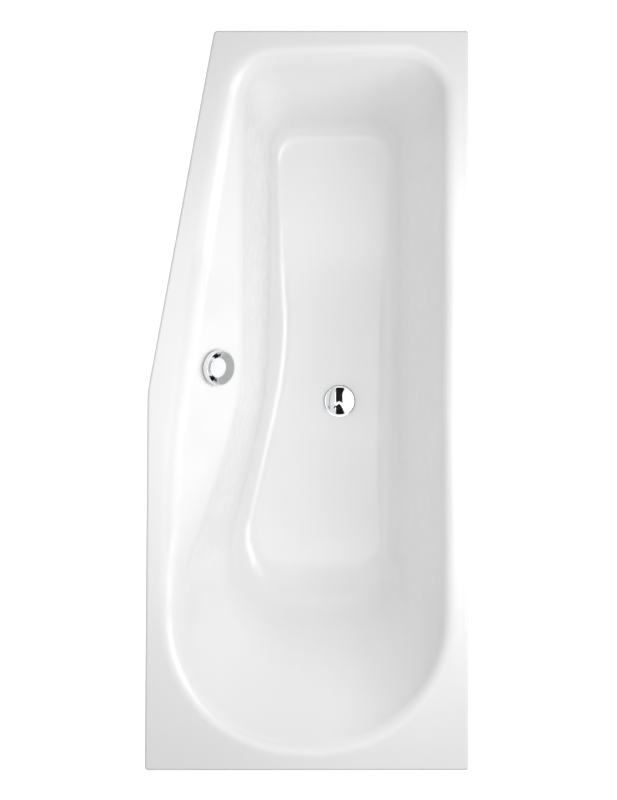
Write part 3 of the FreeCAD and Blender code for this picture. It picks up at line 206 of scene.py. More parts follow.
# %% [markdown]
# Finishes come before pieces, because every piece needs one. Each finish is a small node tree: a
# noise in the piece's own coordinates changes the colour and the gloss a little, and a bump gives
# the grain. What is the same all over a surface, such as its metal share, is set on the shader
# itself.

# %% Helpers for finishes
NOISE_LOW = 0.3
NOISE_HIGH = 0.7


def new_finish(name, metallic, roughness):
    """Material with one shader, and that shader."""
    finish = bpy.data.materials.new(name)
    finish.use_nodes = True
    shader = finish.node_tree.nodes["Principled BSDF"]
    shader.inputs["Metallic"].default_value = metallic
    shader.inputs["Roughness"].default_value = roughness
    return finish, shader


def own_coordinates(finish):
    return finish.node_tree.nodes.new("ShaderNodeTexCoord").outputs["Object"]


def add_noise(finish, scale, detail=2.0):
    noise = finish.node_tree.nodes.new("ShaderNodeTexNoise")
    noise.inputs["Scale"].default_value = scale
    noise.inputs["Detail"].default_value = detail
    finish.node_tree.links.new(own_coordinates(finish), noise.inputs["Vector"])
    return noise.outputs["Fac"]


def add_cells(finish, scale):
    cells = finish.node_tree.nodes.new("ShaderNodeTexVoronoi")
    cells.inputs["Scale"].default_value = scale
    finish.node_tree.links.new(own_coordinates(finish), cells.inputs["Vector"])
    return cells


def colour_between(finish, shader, share, dark, light, low=0.35, high=0.65):
    """Base colour that goes from dark to light as the share rises."""
    ramp = finish.node_tree.nodes.new("ShaderNodeValToRGB")
    ramp.color_ramp.elements[0].position = low
    ramp.color_ramp.elements[1].position = high
    ramp.color_ramp.elements[0].color = (*dark, 1)
    ramp.color_ramp.elements[1].color = (*light, 1)
    finish.node_tree.links.new(share, ramp.inputs["Fac"])
    finish.node_tree.links.new(ramp.outputs["Color"], shader.inputs["Base Color"])


def gloss_between(finish, shader, share, smooth, rough):
    """Roughness that goes from smooth to rough as the share rises. Most of a noise lies in this range."""
    gloss = finish.node_tree.nodes.new("ShaderNodeMapRange")
    gloss.inputs["From Min"].default_value = NOISE_LOW
    gloss.inputs["From Max"].default_value = NOISE_HIGH
    gloss.inputs["To Min"].default_value = smooth
    gloss.inputs["To Max"].default_value = rough
    finish.node_tree.links.new(share, gloss.inputs["Value"])
    finish.node_tree.links.new(gloss.outputs["Result"], shader.inputs["Roughness"])


def add_bump(finish, shader, height, depth, strength):
    bump = finish.node_tree.nodes.new("ShaderNodeBump")
    bump.inputs["Strength"].default_value = strength
    bump.inputs["Distance"].default_value = depth * MM
    finish.node_tree.links.new(height, bump.inputs["Height"])
    finish.node_tree.links.new(bump.outputs["Normal"], shader.inputs["Normal"])


finishes = {}
print("finish helpers ready")

# %% [markdown]
# White enamel is glass melted onto steel. It is glossy, and a close look shows a very faint
# waviness, like the skin of an orange. A slow noise gives that bump, and a finer one makes the
# gloss uneven.

# %% White enamel
ENAMEL_IOR = 1.52


def white_enamel():
    finish, shader = new_finish("white_enamel", metallic=0.0, roughness=0.22)
    shader.inputs["IOR"].default_value = ENAMEL_IOR
    patches = add_noise(finish, scale=2.5)
    colour_between(finish, shader, patches, dark=(0.86, 0.86, 0.862), light=(0.885, 0.885, 0.887))
    gloss_between(finish, shader, add_noise(finish, scale=35.0), smooth=0.19, rough=0.25)
    add_bump(finish, shader, add_noise(finish, scale=40.0, detail=1.0), depth=0.4, strength=0.02)
    return finish


finishes["enamel"] = white_enamel()
print("finish:", finishes["enamel"].name)

# %% [markdown]
# The hidden side of the sheet carries only the ground coat, a dark grey-blue glass with pale specks
# where the coat boiled in the furnace. Cells with a narrow ramp make the specks.

# %% Ground coat


def ground_coat():
    finish, shader = new_finish("ground_coat", metallic=0.0, roughness=0.35)
    specks = add_cells(finish, scale=260.0).outputs["Distance"]
    colour_between(finish, shader, specks,
                   dark=(0.34, 0.36, 0.39), light=(0.055, 0.065, 0.085), low=0.05, high=0.24)
    gloss_between(finish, shader, add_noise(finish, scale=60.0), smooth=0.28, rough=0.48)
    add_bump(finish, shader, add_noise(finish, scale=240.0), depth=0.3, strength=0.25)
    return finish


ground = ground_coat()
print("finish:", ground.name)

# %% [markdown]
# Metals. Chrome is a mirror: its colour hardly varies, and its gloss varies as fine wiping marks
# do. Zinc on the frame shows crystals, which cells of slightly different grey give. Turned brass is
# warm, with a dull film in patches.

# %% Metals


def chrome_plate():
    finish, shader = new_finish("chrome_plate", metallic=1.0, roughness=0.05)
    patches = add_noise(finish, scale=40.0)
    colour_between(finish, shader, patches, dark=(0.80, 0.81, 0.82), light=(0.86, 0.87, 0.88))
    gloss_between(finish, shader, add_noise(finish, scale=400.0, detail=4.0), smooth=0.035, rough=0.075)
    return finish


def zinc_plate():
    finish, shader = new_finish("zinc_plate", metallic=1.0, roughness=0.4)
    crystals = add_cells(finish, scale=110.0)
    grey = finish.node_tree.nodes.new("ShaderNodeSeparateColor")
    finish.node_tree.links.new(crystals.outputs["Color"], grey.inputs["Color"])
    colour_between(finish, shader, grey.outputs["Red"],
                   dark=(0.46, 0.47, 0.49), light=(0.66, 0.67, 0.68), low=0.1, high=0.9)
    gloss_between(finish, shader, grey.outputs["Green"], smooth=0.28, rough=0.5)
    add_bump(finish, shader, add_noise(finish, scale=500.0), depth=0.05, strength=0.3)
    return finish


def turned_brass():
    finish, shader = new_finish("turned_brass", metallic=1.0, roughness=0.25)
    patches = add_noise(finish, scale=150.0, detail=4.0)
    colour_between(finish, shader, patches, dark=(0.52, 0.38, 0.18), light=(0.72, 0.56, 0.29))
    gloss_between(finish, shader, add_noise(finish, scale=300.0), smooth=0.18, rough=0.36)
    add_bump(finish, shader, add_noise(finish, scale=1500.0), depth=0.02, strength=0.3)
    return finish


finishes["chrome"] = chrome_plate()
finishes["zinc"] = zinc_plate()
finishes["brass"] = turned_brass()
print("finishes:", sorted(finishes))

# %% [markdown]
# Rubber and bitumen felt are dull and dark. The felt pads are pressed in a waffle pattern, which
# stops the floor of the bath from drumming: two sets of waves at right angles, one over the other,
# make the waffle as a bump.

# %% Rubber and felt
WAFFLE_WAVES = 38.0


def dull_rubber():
    finish, shader = new_finish("dull_rubber", metallic=0.0, roughness=0.8)
    patches = add_noise(finish, scale=90.0, detail=5.0)
    colour_between(finish, shader, patches, dark=(0.018, 0.018, 0.019), light=(0.045, 0.045, 0.046))
    gloss_between(finish, shader, add_noise(finish, scale=200.0), smooth=0.65, rough=0.88)
    add_bump(finish, shader, add_noise(finish, scale=1200.0), depth=0.08, strength=0.4)
    return finish


def bitumen_felt():
    finish, shader = new_finish("bitumen_felt", metallic=0.0, roughness=0.7)
    tree = finish.node_tree
    patches = add_noise(finish, scale=120.0, detail=6.0)
    colour_between(finish, shader, patches, dark=(0.02, 0.02, 0.022), light=(0.07, 0.07, 0.075))
    gloss_between(finish, shader, add_noise(finish, scale=80.0), smooth=0.55, rough=0.8)
    waves = []
    for direction in ("X", "Y"):
        wave = tree.nodes.new("ShaderNodeTexWave")
        wave.bands_direction = direction
        wave.inputs["Scale"].default_value = WAFFLE_WAVES
        tree.links.new(own_coordinates(finish), wave.inputs["Vector"])
        waves.append(wave.outputs["Fac"])
    waffle = tree.nodes.new("ShaderNodeMath")
    waffle.operation = "MINIMUM"
    tree.links.new(waves[0], waffle.inputs[0])
    tree.links.new(waves[1], waffle.inputs[1])
    add_bump(finish, shader, waffle.outputs[0], depth=1.0, strength=0.7)
    return finish


finishes["rubber"] = dull_rubber()
finishes["bitumen"] = bitumen_felt()
print("finishes:", sorted(finishes))

# %% [markdown]
# The waste, the pipes, the feet and the cable are plain plastics. They differ in colour and gloss,
# and all have the fine spark grain of their moulds, so one helper makes them.

# %% Plastics


def moulded_plastic(name, dark, light, smooth, rough, grain):
    finish, shader = new_finish(name, metallic=0.0, roughness=rough)
    patches = add_noise(finish, scale=25.0, detail=3.0)
    colour_between(finish, shader, patches, dark=dark, light=light)
    gloss_between(finish, shader, add_noise(finish, scale=130.0), smooth=smooth, rough=rough)
    add_bump(finish, shader, add_noise(finish, scale=grain), depth=0.06, strength=0.25)
    return finish


finishes["white_plastic"] = moulded_plastic(
    "white_plastic", dark=(0.66, 0.66, 0.645), light=(0.74, 0.74, 0.725),
    smooth=0.30, rough=0.42, grain=900.0)
finishes["grey_plastic"] = moulded_plastic(
    "grey_plastic", dark=(0.25, 0.26, 0.27), light=(0.31, 0.32, 0.33),
    smooth=0.34, rough=0.48, grain=900.0)
finishes["black_plastic"] = moulded_plastic(
    "black_plastic", dark=(0.014, 0.014, 0.015), light=(0.030, 0.030, 0.032),
    smooth=0.36, rough=0.52, grain=1100.0)
finishes["cable_sheath"] = moulded_plastic(
    "cable_sheath", dark=(0.016, 0.016, 0.018), light=(0.036, 0.036, 0.040),
    smooth=0.30, rough=0.45, grain=700.0)
print("finishes:", sorted(finishes))

# %% [markdown]
# The shell is one steel sheet, pressed to shape. Its sizes follow here in millimetres: the outline
# of the rim, then the mouth of the basin, the crease where the shoulder turns into the wall, and
# the floor. Each ring is given by its corners and by how far the round of a corner reaches along
# its sides.

# %% Sizes of the shell
BATH_LENGTH = 1600.0
BATH_WIDTH = 700.0
FOOT_END_WIDTH = 550.0
KNEE_FROM_HEAD = 818.0
KNEE_INSET = 6.0
RIM_SETBACKS = (6.0, 9.0, 20.0, 9.0, 6.0)
RIM_HEIGHT = 590.0
SHEET = 3.5
SKIRT_DEPTH = 38.0
RIM_EDGE_RADIUS = 5.0
RIM_WALL_SIDE = 50.0
RIM_FOOT_END = 52.0
RIM_HEAD_END = 52.0
RIM_FOOT_CORNER = 47.0
RIM_KNEE = 59.0
MOUTH_KNEE_FROM_HEAD = 640.0
MOUTH_HIP_FROM_HEAD = 400.0
MOUTH_WIDTH = BATH_WIDTH - RIM_WALL_SIDE - RIM_KNEE
MOUTH_HEAD_SHARE = 0.462
MOUTH_HEAD_SETBACK = MOUTH_HEAD_SHARE * MOUTH_WIDTH
MOUTH_SETBACKS = (88.0, 88.0, 125.0, 30.0, MOUTH_HEAD_SETBACK, MOUTH_HEAD_SETBACK)
SHOULDER_SLOPE = 39.5
CREASE_FROM_CORNER = 65.0
CREASE_KNEE_FROM_HEAD = 815.0
CREASE_END_FROM_MOUTH = 33.0
CREASE_END_FROM_HEAD = 430.0
CREASE_HEAD_SHARE = 0.39
CREASE_HEAD_SETBACK = CREASE_HEAD_SHARE * MOUTH_WIDTH
CREASE_SETBACKS = (75.0, 75.0, 85.0, 30.0, CREASE_HEAD_SETBACK, CREASE_HEAD_SETBACK)
WALL_CREASE_SHARE = 0.14
FLOOR_Z = 170.0
FLOOR_FROM_WALL = 155.0
FLOOR_FROM_CORNER = 126.0
FLOOR_FROM_FOOT = 202.0
FLOOR_KNEE_FROM_HEAD = 845.0
FLOOR_HIP_FROM_FREE = 194.0
FLOOR_HIP_FROM_HEAD = 500.0
FLOOR_HEEL_FROM_FREE = 234.0
FLOOR_HEAD_FROM_HEAD = 368.0
FLOOR_SETBACKS = (66.0, 66.0, 110.0, 30.0, 75.0, 95.0)
RIM_ROLL = 28.0
CREASE_ROLL = 24.0
FLOOR_ROLL = 36.0
BACKREST_ROLL = 80.0

WALL_X = BATH_WIDTH / 2
FREE_X = -WALL_X
FOOT_Y = BATH_LENGTH / 2
HEAD_Y = -FOOT_Y
FOOT_CORNER_X = WALL_X - FOOT_END_WIDTH
UP = Vector((0, 0, 1))
print("bath:", BATH_LENGTH, "by", BATH_WIDTH, "by", RIM_HEIGHT, "mm")

# %% [markdown]
# Four rings of corners, each from the wall side of the foot end and anticlockwise. The shoulder is
# a plane that holds the free side of the mouth, so its crease is found by dropping places of the
# plan onto that plane.

# %% Rings of corners


def rim_corners():
    return [
        Vector((WALL_X, FOOT_Y, RIM_HEIGHT)),
        Vector((FOOT_CORNER_X, FOOT_Y, RIM_HEIGHT)),
        Vector((FREE_X + KNEE_INSET, HEAD_Y + KNEE_FROM_HEAD, RIM_HEIGHT)),
        Vector((FREE_X, HEAD_Y, RIM_HEIGHT)),
        Vector((WALL_X, HEAD_Y, RIM_HEIGHT)),
    ]


def mouth_corners():
    knee_x = FREE_X + RIM_KNEE
    right = WALL_X - RIM_WALL_SIDE
    return [
        Vector((right, FOOT_Y - RIM_FOOT_END, RIM_HEIGHT)),
        Vector((FOOT_CORNER_X + RIM_FOOT_CORNER, FOOT_Y - RIM_FOOT_END, RIM_HEIGHT)),
        Vector((knee_x, HEAD_Y + MOUTH_KNEE_FROM_HEAD, RIM_HEIGHT)),
        Vector((knee_x, HEAD_Y + MOUTH_HIP_FROM_HEAD, RIM_HEIGHT)),
        Vector((knee_x, HEAD_Y + RIM_HEAD_END, RIM_HEIGHT)),
        Vector((right, HEAD_Y + RIM_HEAD_END, RIM_HEIGHT)),
    ]


def floor_corners():
    left = FOOT_CORNER_X + FLOOR_FROM_CORNER
    right = WALL_X - FLOOR_FROM_WALL
    return [
        Vector((right, FOOT_Y - FLOOR_FROM_FOOT, FLOOR_Z)),
        Vector((left, FOOT_Y - FLOOR_FROM_FOOT, FLOOR_Z)),
        Vector((left, HEAD_Y + FLOOR_KNEE_FROM_HEAD, FLOOR_Z)),
        Vector((FREE_X + FLOOR_HIP_FROM_FREE, HEAD_Y + FLOOR_HIP_FROM_HEAD, FLOOR_Z)),
        Vector((FREE_X + FLOOR_HEEL_FROM_FREE, HEAD_Y + FLOOR_HEAD_FROM_HEAD, FLOOR_Z)),
        Vector((right, HEAD_Y + FLOOR_HEAD_FROM_HEAD, FLOOR_Z)),
    ]


def shoulder_normal():
    mouth = mouth_corners()
    inward = UP.cross((mouth[2] - mouth[1]).normalized())
    slope = math.radians(SHOULDER_SLOPE)
    return UP * math.cos(slope) + inward * math.sin(slope)


def on_shoulder(x, y):
    normal = shoulder_normal()
    edge = mouth_corners()[1]
    fall = (normal.x * (x - edge.x) + normal.y * (y - edge.y)) / normal.z
    return Vector((x, y, edge.z - fall))


def crease_corners():
    mouth = mouth_corners()
    floor_ring = floor_corners()
    on_wall = [mouth[i].lerp(floor_ring[i], WALL_CREASE_SHARE) for i in range(len(mouth))]
    crease_x = FOOT_CORNER_X + CREASE_FROM_CORNER
    return [
        on_wall[0],
        on_shoulder(crease_x, on_wall[1].y),
        on_shoulder(crease_x, HEAD_Y + CREASE_KNEE_FROM_HEAD),
        on_shoulder(mouth[2].x + CREASE_END_FROM_MOUTH, HEAD_Y + CREASE_END_FROM_HEAD),
        on_wall[4],
        on_wall[5],
    ]


print("shoulder falls by", SHOULDER_SLOPE, "degrees")

# %% [markdown]
# Between the corners, poles are set out along arcs and straight sides, the same number on every
# ring, so that a pole of one ring belongs to one pole of the next. A smooth closed curve follows
# each ring of poles.

# %% Poles round a ring
CORNER_SPANS = (6, 6, 4, 3, 8, 8)
SIDE_SPANS = (3, 10, 4, 2, 4, 8)
STEPS_PER_POLE = 5


def corner_ends(points, setbacks, index):
    corner = points[index]
    before = (points[index - 1] - corner).normalized()
    after = (points[(index + 1) % len(points)] - corner).normalized()
    return corner + before * setbacks[index], corner + after * setbacks[index]


def corner_arc(start, corner, end, share):
    """Point of the arc that touches both sides of a corner."""
    weight = math.cos((corner - start).angle(end - corner) / 2)
    first = (1 - share) ** 2
    middle = 2 * weight * share * (1 - share)
    last = share ** 2
    return (start * first + corner * middle + end * last) / (first + middle + last)


def ring_poles(points, setbacks):
    poles = []
    for index, corner in enumerate(points):
        start, end = corner_ends(points, setbacks, index)
        side_end = corner_ends(points, setbacks, (index + 1) % len(points))[0]
        for step in range(CORNER_SPANS[index]):
            poles.append(corner_arc(start, corner, end, step / CORNER_SPANS[index]))
        for step in range(SIDE_SPANS[index]):
            poles.append(end.lerp(side_end, step / SIDE_SPANS[index]))
    return poles


def smooth_ring(poles):
    """Points of the closed cubic curve that the poles pull along."""
    ring = []
    for index in range(len(poles)):
        near = [poles[(index + offset) % len(poles)] for offset in (-1, 0, 1, 2)]
        for step in range(STEPS_PER_POLE):
            t = step / STEPS_PER_POLE
            pulls = (
                (1 - t) ** 3,
                3 * t ** 3 - 6 * t ** 2 + 4,
                -3 * t ** 3 + 3 * t ** 2 + 3 * t + 1,
                t ** 3,
            )
            ring.append(sum((pole * pull for pole, pull in zip(near, pulls)), Vector()) / sum(pulls))
    return ring


print("points on a ring:", (sum(CORNER_SPANS) + sum(SIDE_SPANS)) * STEPS_PER_POLE)

# %% [markdown]
# Down the wall, the sheet rolls over the rim, runs straight down the shoulder, rolls at the crease,
# runs straight down the lower wall and rolls into the floor. A roll is a curve with three poles.
# Where two rolls have little room between them, both get smaller. The hidden face of the sheet is
# the same set of rows, set back by the sheet's thickness, so that both faces stay parallel.

# %% Rows down the wall
ROLL_STEPS = 10
STRAIGHT_SHARES = (0.02, 0.2, 0.4, 0.6, 0.8, 0.98, 1.0)
SUPPORT = 1.0
LEG_SHARE = 0.95
ROLL_ROWS = (1, 4, 7)


def outward_ways(ring):
    """Level directions that lead out of a ring."""
    count = len(ring)
    return [(ring[(i + 1) % count] - ring[i - 1]).cross(UP).normalized() for i in range(count)]


def leg_normals(upper, lower):
    """Normals, pointing into the basin, of the wall between two rings."""
    normals = []
    count = len(upper)
    for i in range(count):
        after = (i + 1) % count
        along = upper[after] - upper[i - 1] + lower[after] - lower[i - 1]
        normals.append((upper[i] - lower[i]).cross(along).normalized())
    return normals


def mitre(first, second):
    return (first + second) / (1 + first.dot(second))


def basin_rows(depth):
    mouth = ring_poles(mouth_corners(), MOUTH_SETBACKS)
    crease = ring_poles(crease_corners(), CREASE_SETBACKS)
    foot_ring = ring_poles(floor_corners(), FLOOR_SETBACKS)
    upper_normals = leg_normals(mouth, crease)
    lower_normals = leg_normals(crease, foot_ring)
    stations = zip(mouth, crease, foot_ring, upper_normals, lower_normals, outward_ways(mouth))
    columns = []
    for top, turn, foot, upper, lower, out in stations:
        upper_way = (turn - top).normalized()
        room = min(1.0, LEG_SHARE * (turn - top).length / (RIM_ROLL + CREASE_ROLL))
        lower_way = (foot - turn).normalized()
        lean = Vector((lower_way.x, lower_way.y, 0)).normalized()
        floor_roll = FLOOR_ROLL + (BACKREST_ROLL - FLOOR_ROLL) * max(0.0, lean.y) ** 2
        places = (
            (top + out * (RIM_ROLL + SUPPORT), UP),
            (top + out * RIM_ROLL, UP),
            (top, mitre(UP, upper)),
            (top + upper_way * RIM_ROLL * room, upper),
            (turn - upper_way * CREASE_ROLL * room, upper),
            (turn, mitre(upper, lower)),
            (turn + lower_way * CREASE_ROLL, lower),
            (foot - lower_way * floor_roll, lower),
            (foot, mitre(lower, UP)),
            (foot + lean * floor_roll, UP),
            (foot + lean * (floor_roll + SUPPORT), UP),
        )
        columns.append([place - shift * depth for place, shift in places])
    return [list(row) for row in zip(*columns)]


def basin_rings(depth):
    """Rings from the flat of the rim to the flat of the floor, with a narrow flat band at each end."""
    rows = [smooth_ring(row) for row in basin_rows(depth)]
    rings = rows[0:2]
    for first in ROLL_ROWS:
        start, middle, end = rows[first:first + 3]
        for step in range(1, ROLL_STEPS + 1):
            t = step / ROLL_STEPS
            rings.append([a.lerp(b, t).lerp(b.lerp(c, t), t) for a, b, c in zip(start, middle, end)])
        if first < ROLL_ROWS[-1]:
            for share in STRAIGHT_SHARES:
                rings.append([a.lerp(b, share) for a, b in zip(end, rows[first + 3])])
    rings.append(rows[-1])
    return rings


print("rings on each face:", len(basin_rings(0.0)))

# %% [markdown]
# At the outer edge, the sheet rolls over and hangs down as a skirt. One profile runs down the back
# of the skirt, round its lower edge and up its front, and it is carried round the outline of the
# rim.

# %% Skirt of the rim
ARC_STEPS = 10


def rim_stations():
    """Points round the rim's outline, each with its level inward direction."""
    corners = rim_corners()
    stations = []
    for index, corner in enumerate(corners):
        start, end = corner_ends(corners, RIM_SETBACKS, index)
        inward = UP.cross((corner - start).normalized())
        turn = (corner - start).angle(end - corner)
        centre = start + inward * (RIM_SETBACKS[index] / math.tan(turn / 2))
        for step in range(ARC_STEPS + 1):
            point = corner_arc(start, corner, end, step / ARC_STEPS)
            stations.append((point, (centre - point).normalized()))
    return stations


def skirt_profile():
    """Pairs of inset and drop, from the back of the rim, round the skirt, to the top of the rim."""
    def arc(radius, step):
        angle = math.pi / 2 * step / ARC_STEPS
        inset = RIM_EDGE_RADIUS - radius * math.cos(angle)
        drop = RIM_EDGE_RADIUS - radius * math.sin(angle)
        return inset, drop

    inner = [arc(RIM_EDGE_RADIUS - SHEET, step) for step in range(ARC_STEPS, -1, -1)]
    outer = [arc(RIM_EDGE_RADIUS, step) for step in range(ARC_STEPS + 1)]
    flat = RIM_EDGE_RADIUS + SUPPORT / 2
    return [(flat, SHEET)] + inner + [(SHEET, SKIRT_DEPTH), (0, SKIRT_DEPTH)] + outer + [(flat, 0)]


def skirt_rings():
    stations = rim_stations()
    profile = skirt_profile()
    return [[point + way * inset - UP * drop for point, way in stations] for inset, drop in profile]


print("skirt rings:", len(skirt_rings()))

# %% [markdown]
# Now the rings become one closed mesh. Rings of equal count are joined by strips. The flat of the
# rim lies between two different rings and the flat of the floor between a ring and the drain hole,
# so those are filled. The narrow flat bands from before keep the shading of the flats level.

# %% Shell mesh
DRAIN_CENTRE = Vector((72.0, -1.0, 0.0))
DRAIN_HOLE_RADIUS = 26.0
HOLE_STEPS = 64
FRONT = 0
BACK = 1
INSIDE_ONLY = 1
FLAT_TOLERANCE = 1e-9


def circle(centre, radius, z):
    steps = [2 * math.pi * step / HOLE_STEPS for step in range(HOLE_STEPS)]
    return [Vector((centre.x + radius * math.cos(a), centre.y + radius * math.sin(a), z)) for a in steps]


def add_rings(mesh, rings, side):
    """Joins rings by strips and returns the first and last loop of points."""
    loops = [[mesh.verts.new(point * MM) for point in ring] for ring in rings]
    for upper, lower in zip(loops, loops[1:]):
        for i in range(len(upper)):
            after = (i + 1) % len(upper)
            mesh.faces.new((upper[i], upper[after], lower[after], lower[i])).material_index = side
    return loops[0], loops[-1]


def fill_flat(mesh, outer, inner, side):
    """Triangles between two level loops. The inner loop is convex, so what lies inside it is left open."""
    points = outer + inner
    edges = []
    for first, loop in ((0, outer), (len(outer), inner)):
        edges += [(first + i, first + (i + 1) % len(loop)) for i in range(len(loop))]
    flat = [point.co.to_2d() for point in points]
    found = delaunay_2d_cdt(flat, edges, [], INSIDE_ONLY, FLAT_TOLERANCE)
    triangles, origins = found[2:4]
    for triangle in triangles:
        picked = [origins[corner][0] for corner in triangle]
        if min(picked) < len(outer):
            mesh.faces.new([points[i] for i in picked]).material_index = side


def shell_mesh():
    mesh = bmesh.new()
    rim_back, rim_front = add_rings(mesh, skirt_rings(), FRONT)
    mouth_front, floor_front = add_rings(mesh, basin_rings(0.0), FRONT)
    mouth_back, floor_back = add_rings(mesh, basin_rings(SHEET), BACK)
    hole = [circle(DRAIN_CENTRE, DRAIN_HOLE_RADIUS, z) for z in (FLOOR_Z, FLOOR_Z - SHEET)]
    hole_front, hole_back = add_rings(mesh, hole, FRONT)
    fill_flat(mesh, rim_front, mouth_front, FRONT)
    fill_flat(mesh, rim_back, mouth_back, BACK)
    fill_flat(mesh, floor_front, hole_front, FRONT)
    fill_flat(mesh, floor_back, hole_back, BACK)
    bmesh.ops.recalc_face_normals(mesh, faces=mesh.faces)
    return mesh


def finished_object(name, mesh):
    """Object made of an edit mesh, which is freed."""
    data = bpy.data.meshes.new(name)
    mesh.to_mesh(data)
    mesh.free()
    return add_object(name, data)


shell = finished_object("enamelled_shell", shell_mesh())
shell.data.materials.append(finishes["enamel"])
shell.data.materials.append(ground)
print("shell faces:", len(shell.data.polygons))

# %% [markdown]
# The overflow hole goes through the sloping shoulder. A Boolean modifier cuts it with a cylinder
# that stands on the shoulder's plane, and the result is kept as a plain mesh. Then sharp edges are
# marked by angle, so that the rolls shade smoothly and the cut edges stay crisp.

# %% Overflow hole
OVERFLOW_FROM_CREASE = 62.0
OVERFLOW_FROM_HEAD = 872.0
OVERFLOW_HOLE_RADIUS = 27.0
CUTTER_LENGTH = 40.0
SHARP_ANGLE = math.radians(30)

overflow_x = FOOT_CORNER_X + CREASE_FROM_CORNER - OVERFLOW_FROM_CREASE
overflow_place = on_shoulder(overflow_x, HEAD_Y + OVERFLOW_FROM_HEAD)
overflow_turn = shoulder_normal().to_track_quat("Z", "Y").to_matrix().to_4x4()


def overflow_cutter():
    mesh = bmesh.new()
    place = Matrix.Translation(overflow_place * MM) @ overflow_turn
    bmesh.ops.create_cone(mesh, cap_ends=True, segments=HOLE_STEPS, radius1=OVERFLOW_HOLE_RADIUS * MM,
                          radius2=OVERFLOW_HOLE_RADIUS * MM, depth=CUTTER_LENGTH * MM, matrix=place)
    return finished_object("overflow_cutter", mesh)


def evaluated_mesh(made):
    """Plain mesh of an object with its modifiers, which are then removed."""
    view = bpy.context.evaluated_depsgraph_get()
    data = bpy.data.meshes.new_from_object(made.evaluated_get(view))
    made.modifiers.clear()
    made.data = data


def shade(made, angle=SHARP_ANGLE):
    """Smooth faces, with hard edges only where the surface turns sharply."""
    made.data.polygons.foreach_set("use_smooth", [True] * len(made.data.polygons))
    made.data.set_sharp_from_angle(angle=angle)


cutter = overflow_cutter()
cut = shell.modifiers.new("overflow_hole", "BOOLEAN")
cut.object = cutter
cut.operation = "DIFFERENCE"
cut.solver = "EXACT"
evaluated_mesh(shell)
bpy.data.objects.remove(cutter)
shade(shell)
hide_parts("bath_shell")
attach(shell, "bath")
print("shell faces with the hole:", len(shell.data.polygons))

# %% [markdown]
# Chrome is a mirror, so it shows the studio more than itself. In a white studio it would look like
# white paint, so cards hang over it. Over the plug hang a black one in two parts, which shows as
# its dark band, and a pale one beside it. Round the knob's dish hang a grey one and black ones,
# which show as its grey half and its two dark wedges. Each is laid out backwards: places on the
# mirror are chosen, and a look from straight above is followed from there to the card. In the
# wedges a look bounces twice, and all such looks leave the dish about the same way. Only mirrors
# see the cards. They take no light from the bath, and the camera looks through them.

# %% Cards for the chrome
CARD_HEIGHT = 800.0
CARD_BLACK = 0.01
CARD_GREY = 0.52
CARD_PALE = 0.88
CARD_ROUGHNESS = 0.5
PLUG_DOME = 153.0
FAR_BAND = ((-8.2, 31), (-8.2, -5), (-1.0, -1.2), (7.6, -6), (7.0, 14), (12, 31))
NEAR_BAND = ((-8.2, -31), (12, -31), (8, -17), (4.2, -10), (-0.8, -4.7), (-6.5, -9.5), (-8.2, -14))
FREE_SIDE = ((-31, -31), (-8.8, -31), (-8.8, 31), (-31, 31))
PLUG_CARDS = {
    "far_card": (FAR_BAND, CARD_BLACK),
    "near_card": (NEAR_BAND, CARD_BLACK),
    "free_side_card": (FREE_SIDE, CARD_PALE),
}
DISH_DEPTH = 10.0
DISH_WIDTH = 15.0
DISH_SLOPE = math.atan2(DISH_DEPTH, DISH_WIDTH)
DISH_MIDDLE = 10.0
DISH_REACH = 250.0
DISH_CARDS = {
    "grey_card": (range(-80, 81, 8), (10.0, 48.0), CARD_GREY),
    "foot_wedge_card": (range(92, 119, 6), (26.0, 38.0), CARD_BLACK),
    "head_wedge_card": (range(-122, -91, 6), (26.0, 38.0), CARD_BLACK),
}
GLANCE_CARDS = {
    "foot_glance_card": Vector((0.70, -0.62, 0.35)),
    "head_glance_card": Vector((0.86, 0.38, 0.35)),
}
GLANCE_START = 28.0
GLANCE_HALF = 26.0


def mirrored(normal):
    """Where a look from straight above goes on to after a mirror."""
    return normal * (2 * normal.z) - UP


def seen_in_plug(x, y):
    low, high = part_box("plug_cover")
    top = Vector(((low.x + high.x) / 2, (low.y + high.y) / 2, high.z)) / MM
    way = mirrored(Vector((x, y, math.sqrt(PLUG_DOME ** 2 - x ** 2 - y ** 2))) / PLUG_DOME)
    return top + Vector((x, y, 0)) + way * ((CARD_HEIGHT - top.z) / way.z)


def seen_in_dish(angle, radius):
    """Place seen in the sloping wall of the knob's dish, with the angle counted from its lowest side."""
    axis = shoulder_normal()
    side = UP.cross(axis).normalized()
    radial = side.cross(axis) * math.cos(angle) + side * math.sin(angle)
    normal = axis * math.cos(DISH_SLOPE) - radial * math.sin(DISH_SLOPE)
    return overflow_place + axis * DISH_MIDDLE + radial * radius + mirrored(normal) * DISH_REACH


def glance_corners(way):
    """Corners of a square card that faces the looks which leave the dish this way after two bounces."""
    axis = shoulder_normal()
    downhill = UP.cross(axis).normalized().cross(axis)
    middle = overflow_place + axis * DISH_MIDDLE + downhill * GLANCE_START + way * DISH_REACH
    across = UP.cross(way).normalized() * GLANCE_HALF
    along = way.cross(across).normalized() * GLANCE_HALF
    far = middle + along
    near = middle - along
    return [far + across, far - across, near - across, near + across]


def hang_card(name, points, faces, grey):
    data = bpy.data.meshes.new(name)
    data.from_pydata([point * MM for point in points], [], faces)
    card = add_object(name, data)
    card.visible_camera = False
    card.visible_diffuse = False
    card.visible_shadow = False
    paint, shader = new_finish(name, metallic=0.0, roughness=CARD_ROUGHNESS)
    shader.inputs["Base Color"].default_value = (0, 0, 0, 1)
    shader.inputs["Specular IOR Level"].default_value = 0.0
    shader.inputs["Emission Color"].default_value = (grey, grey, grey, 1)
    shader.inputs["Emission Strength"].default_value = 1.0
    data.materials.append(paint)


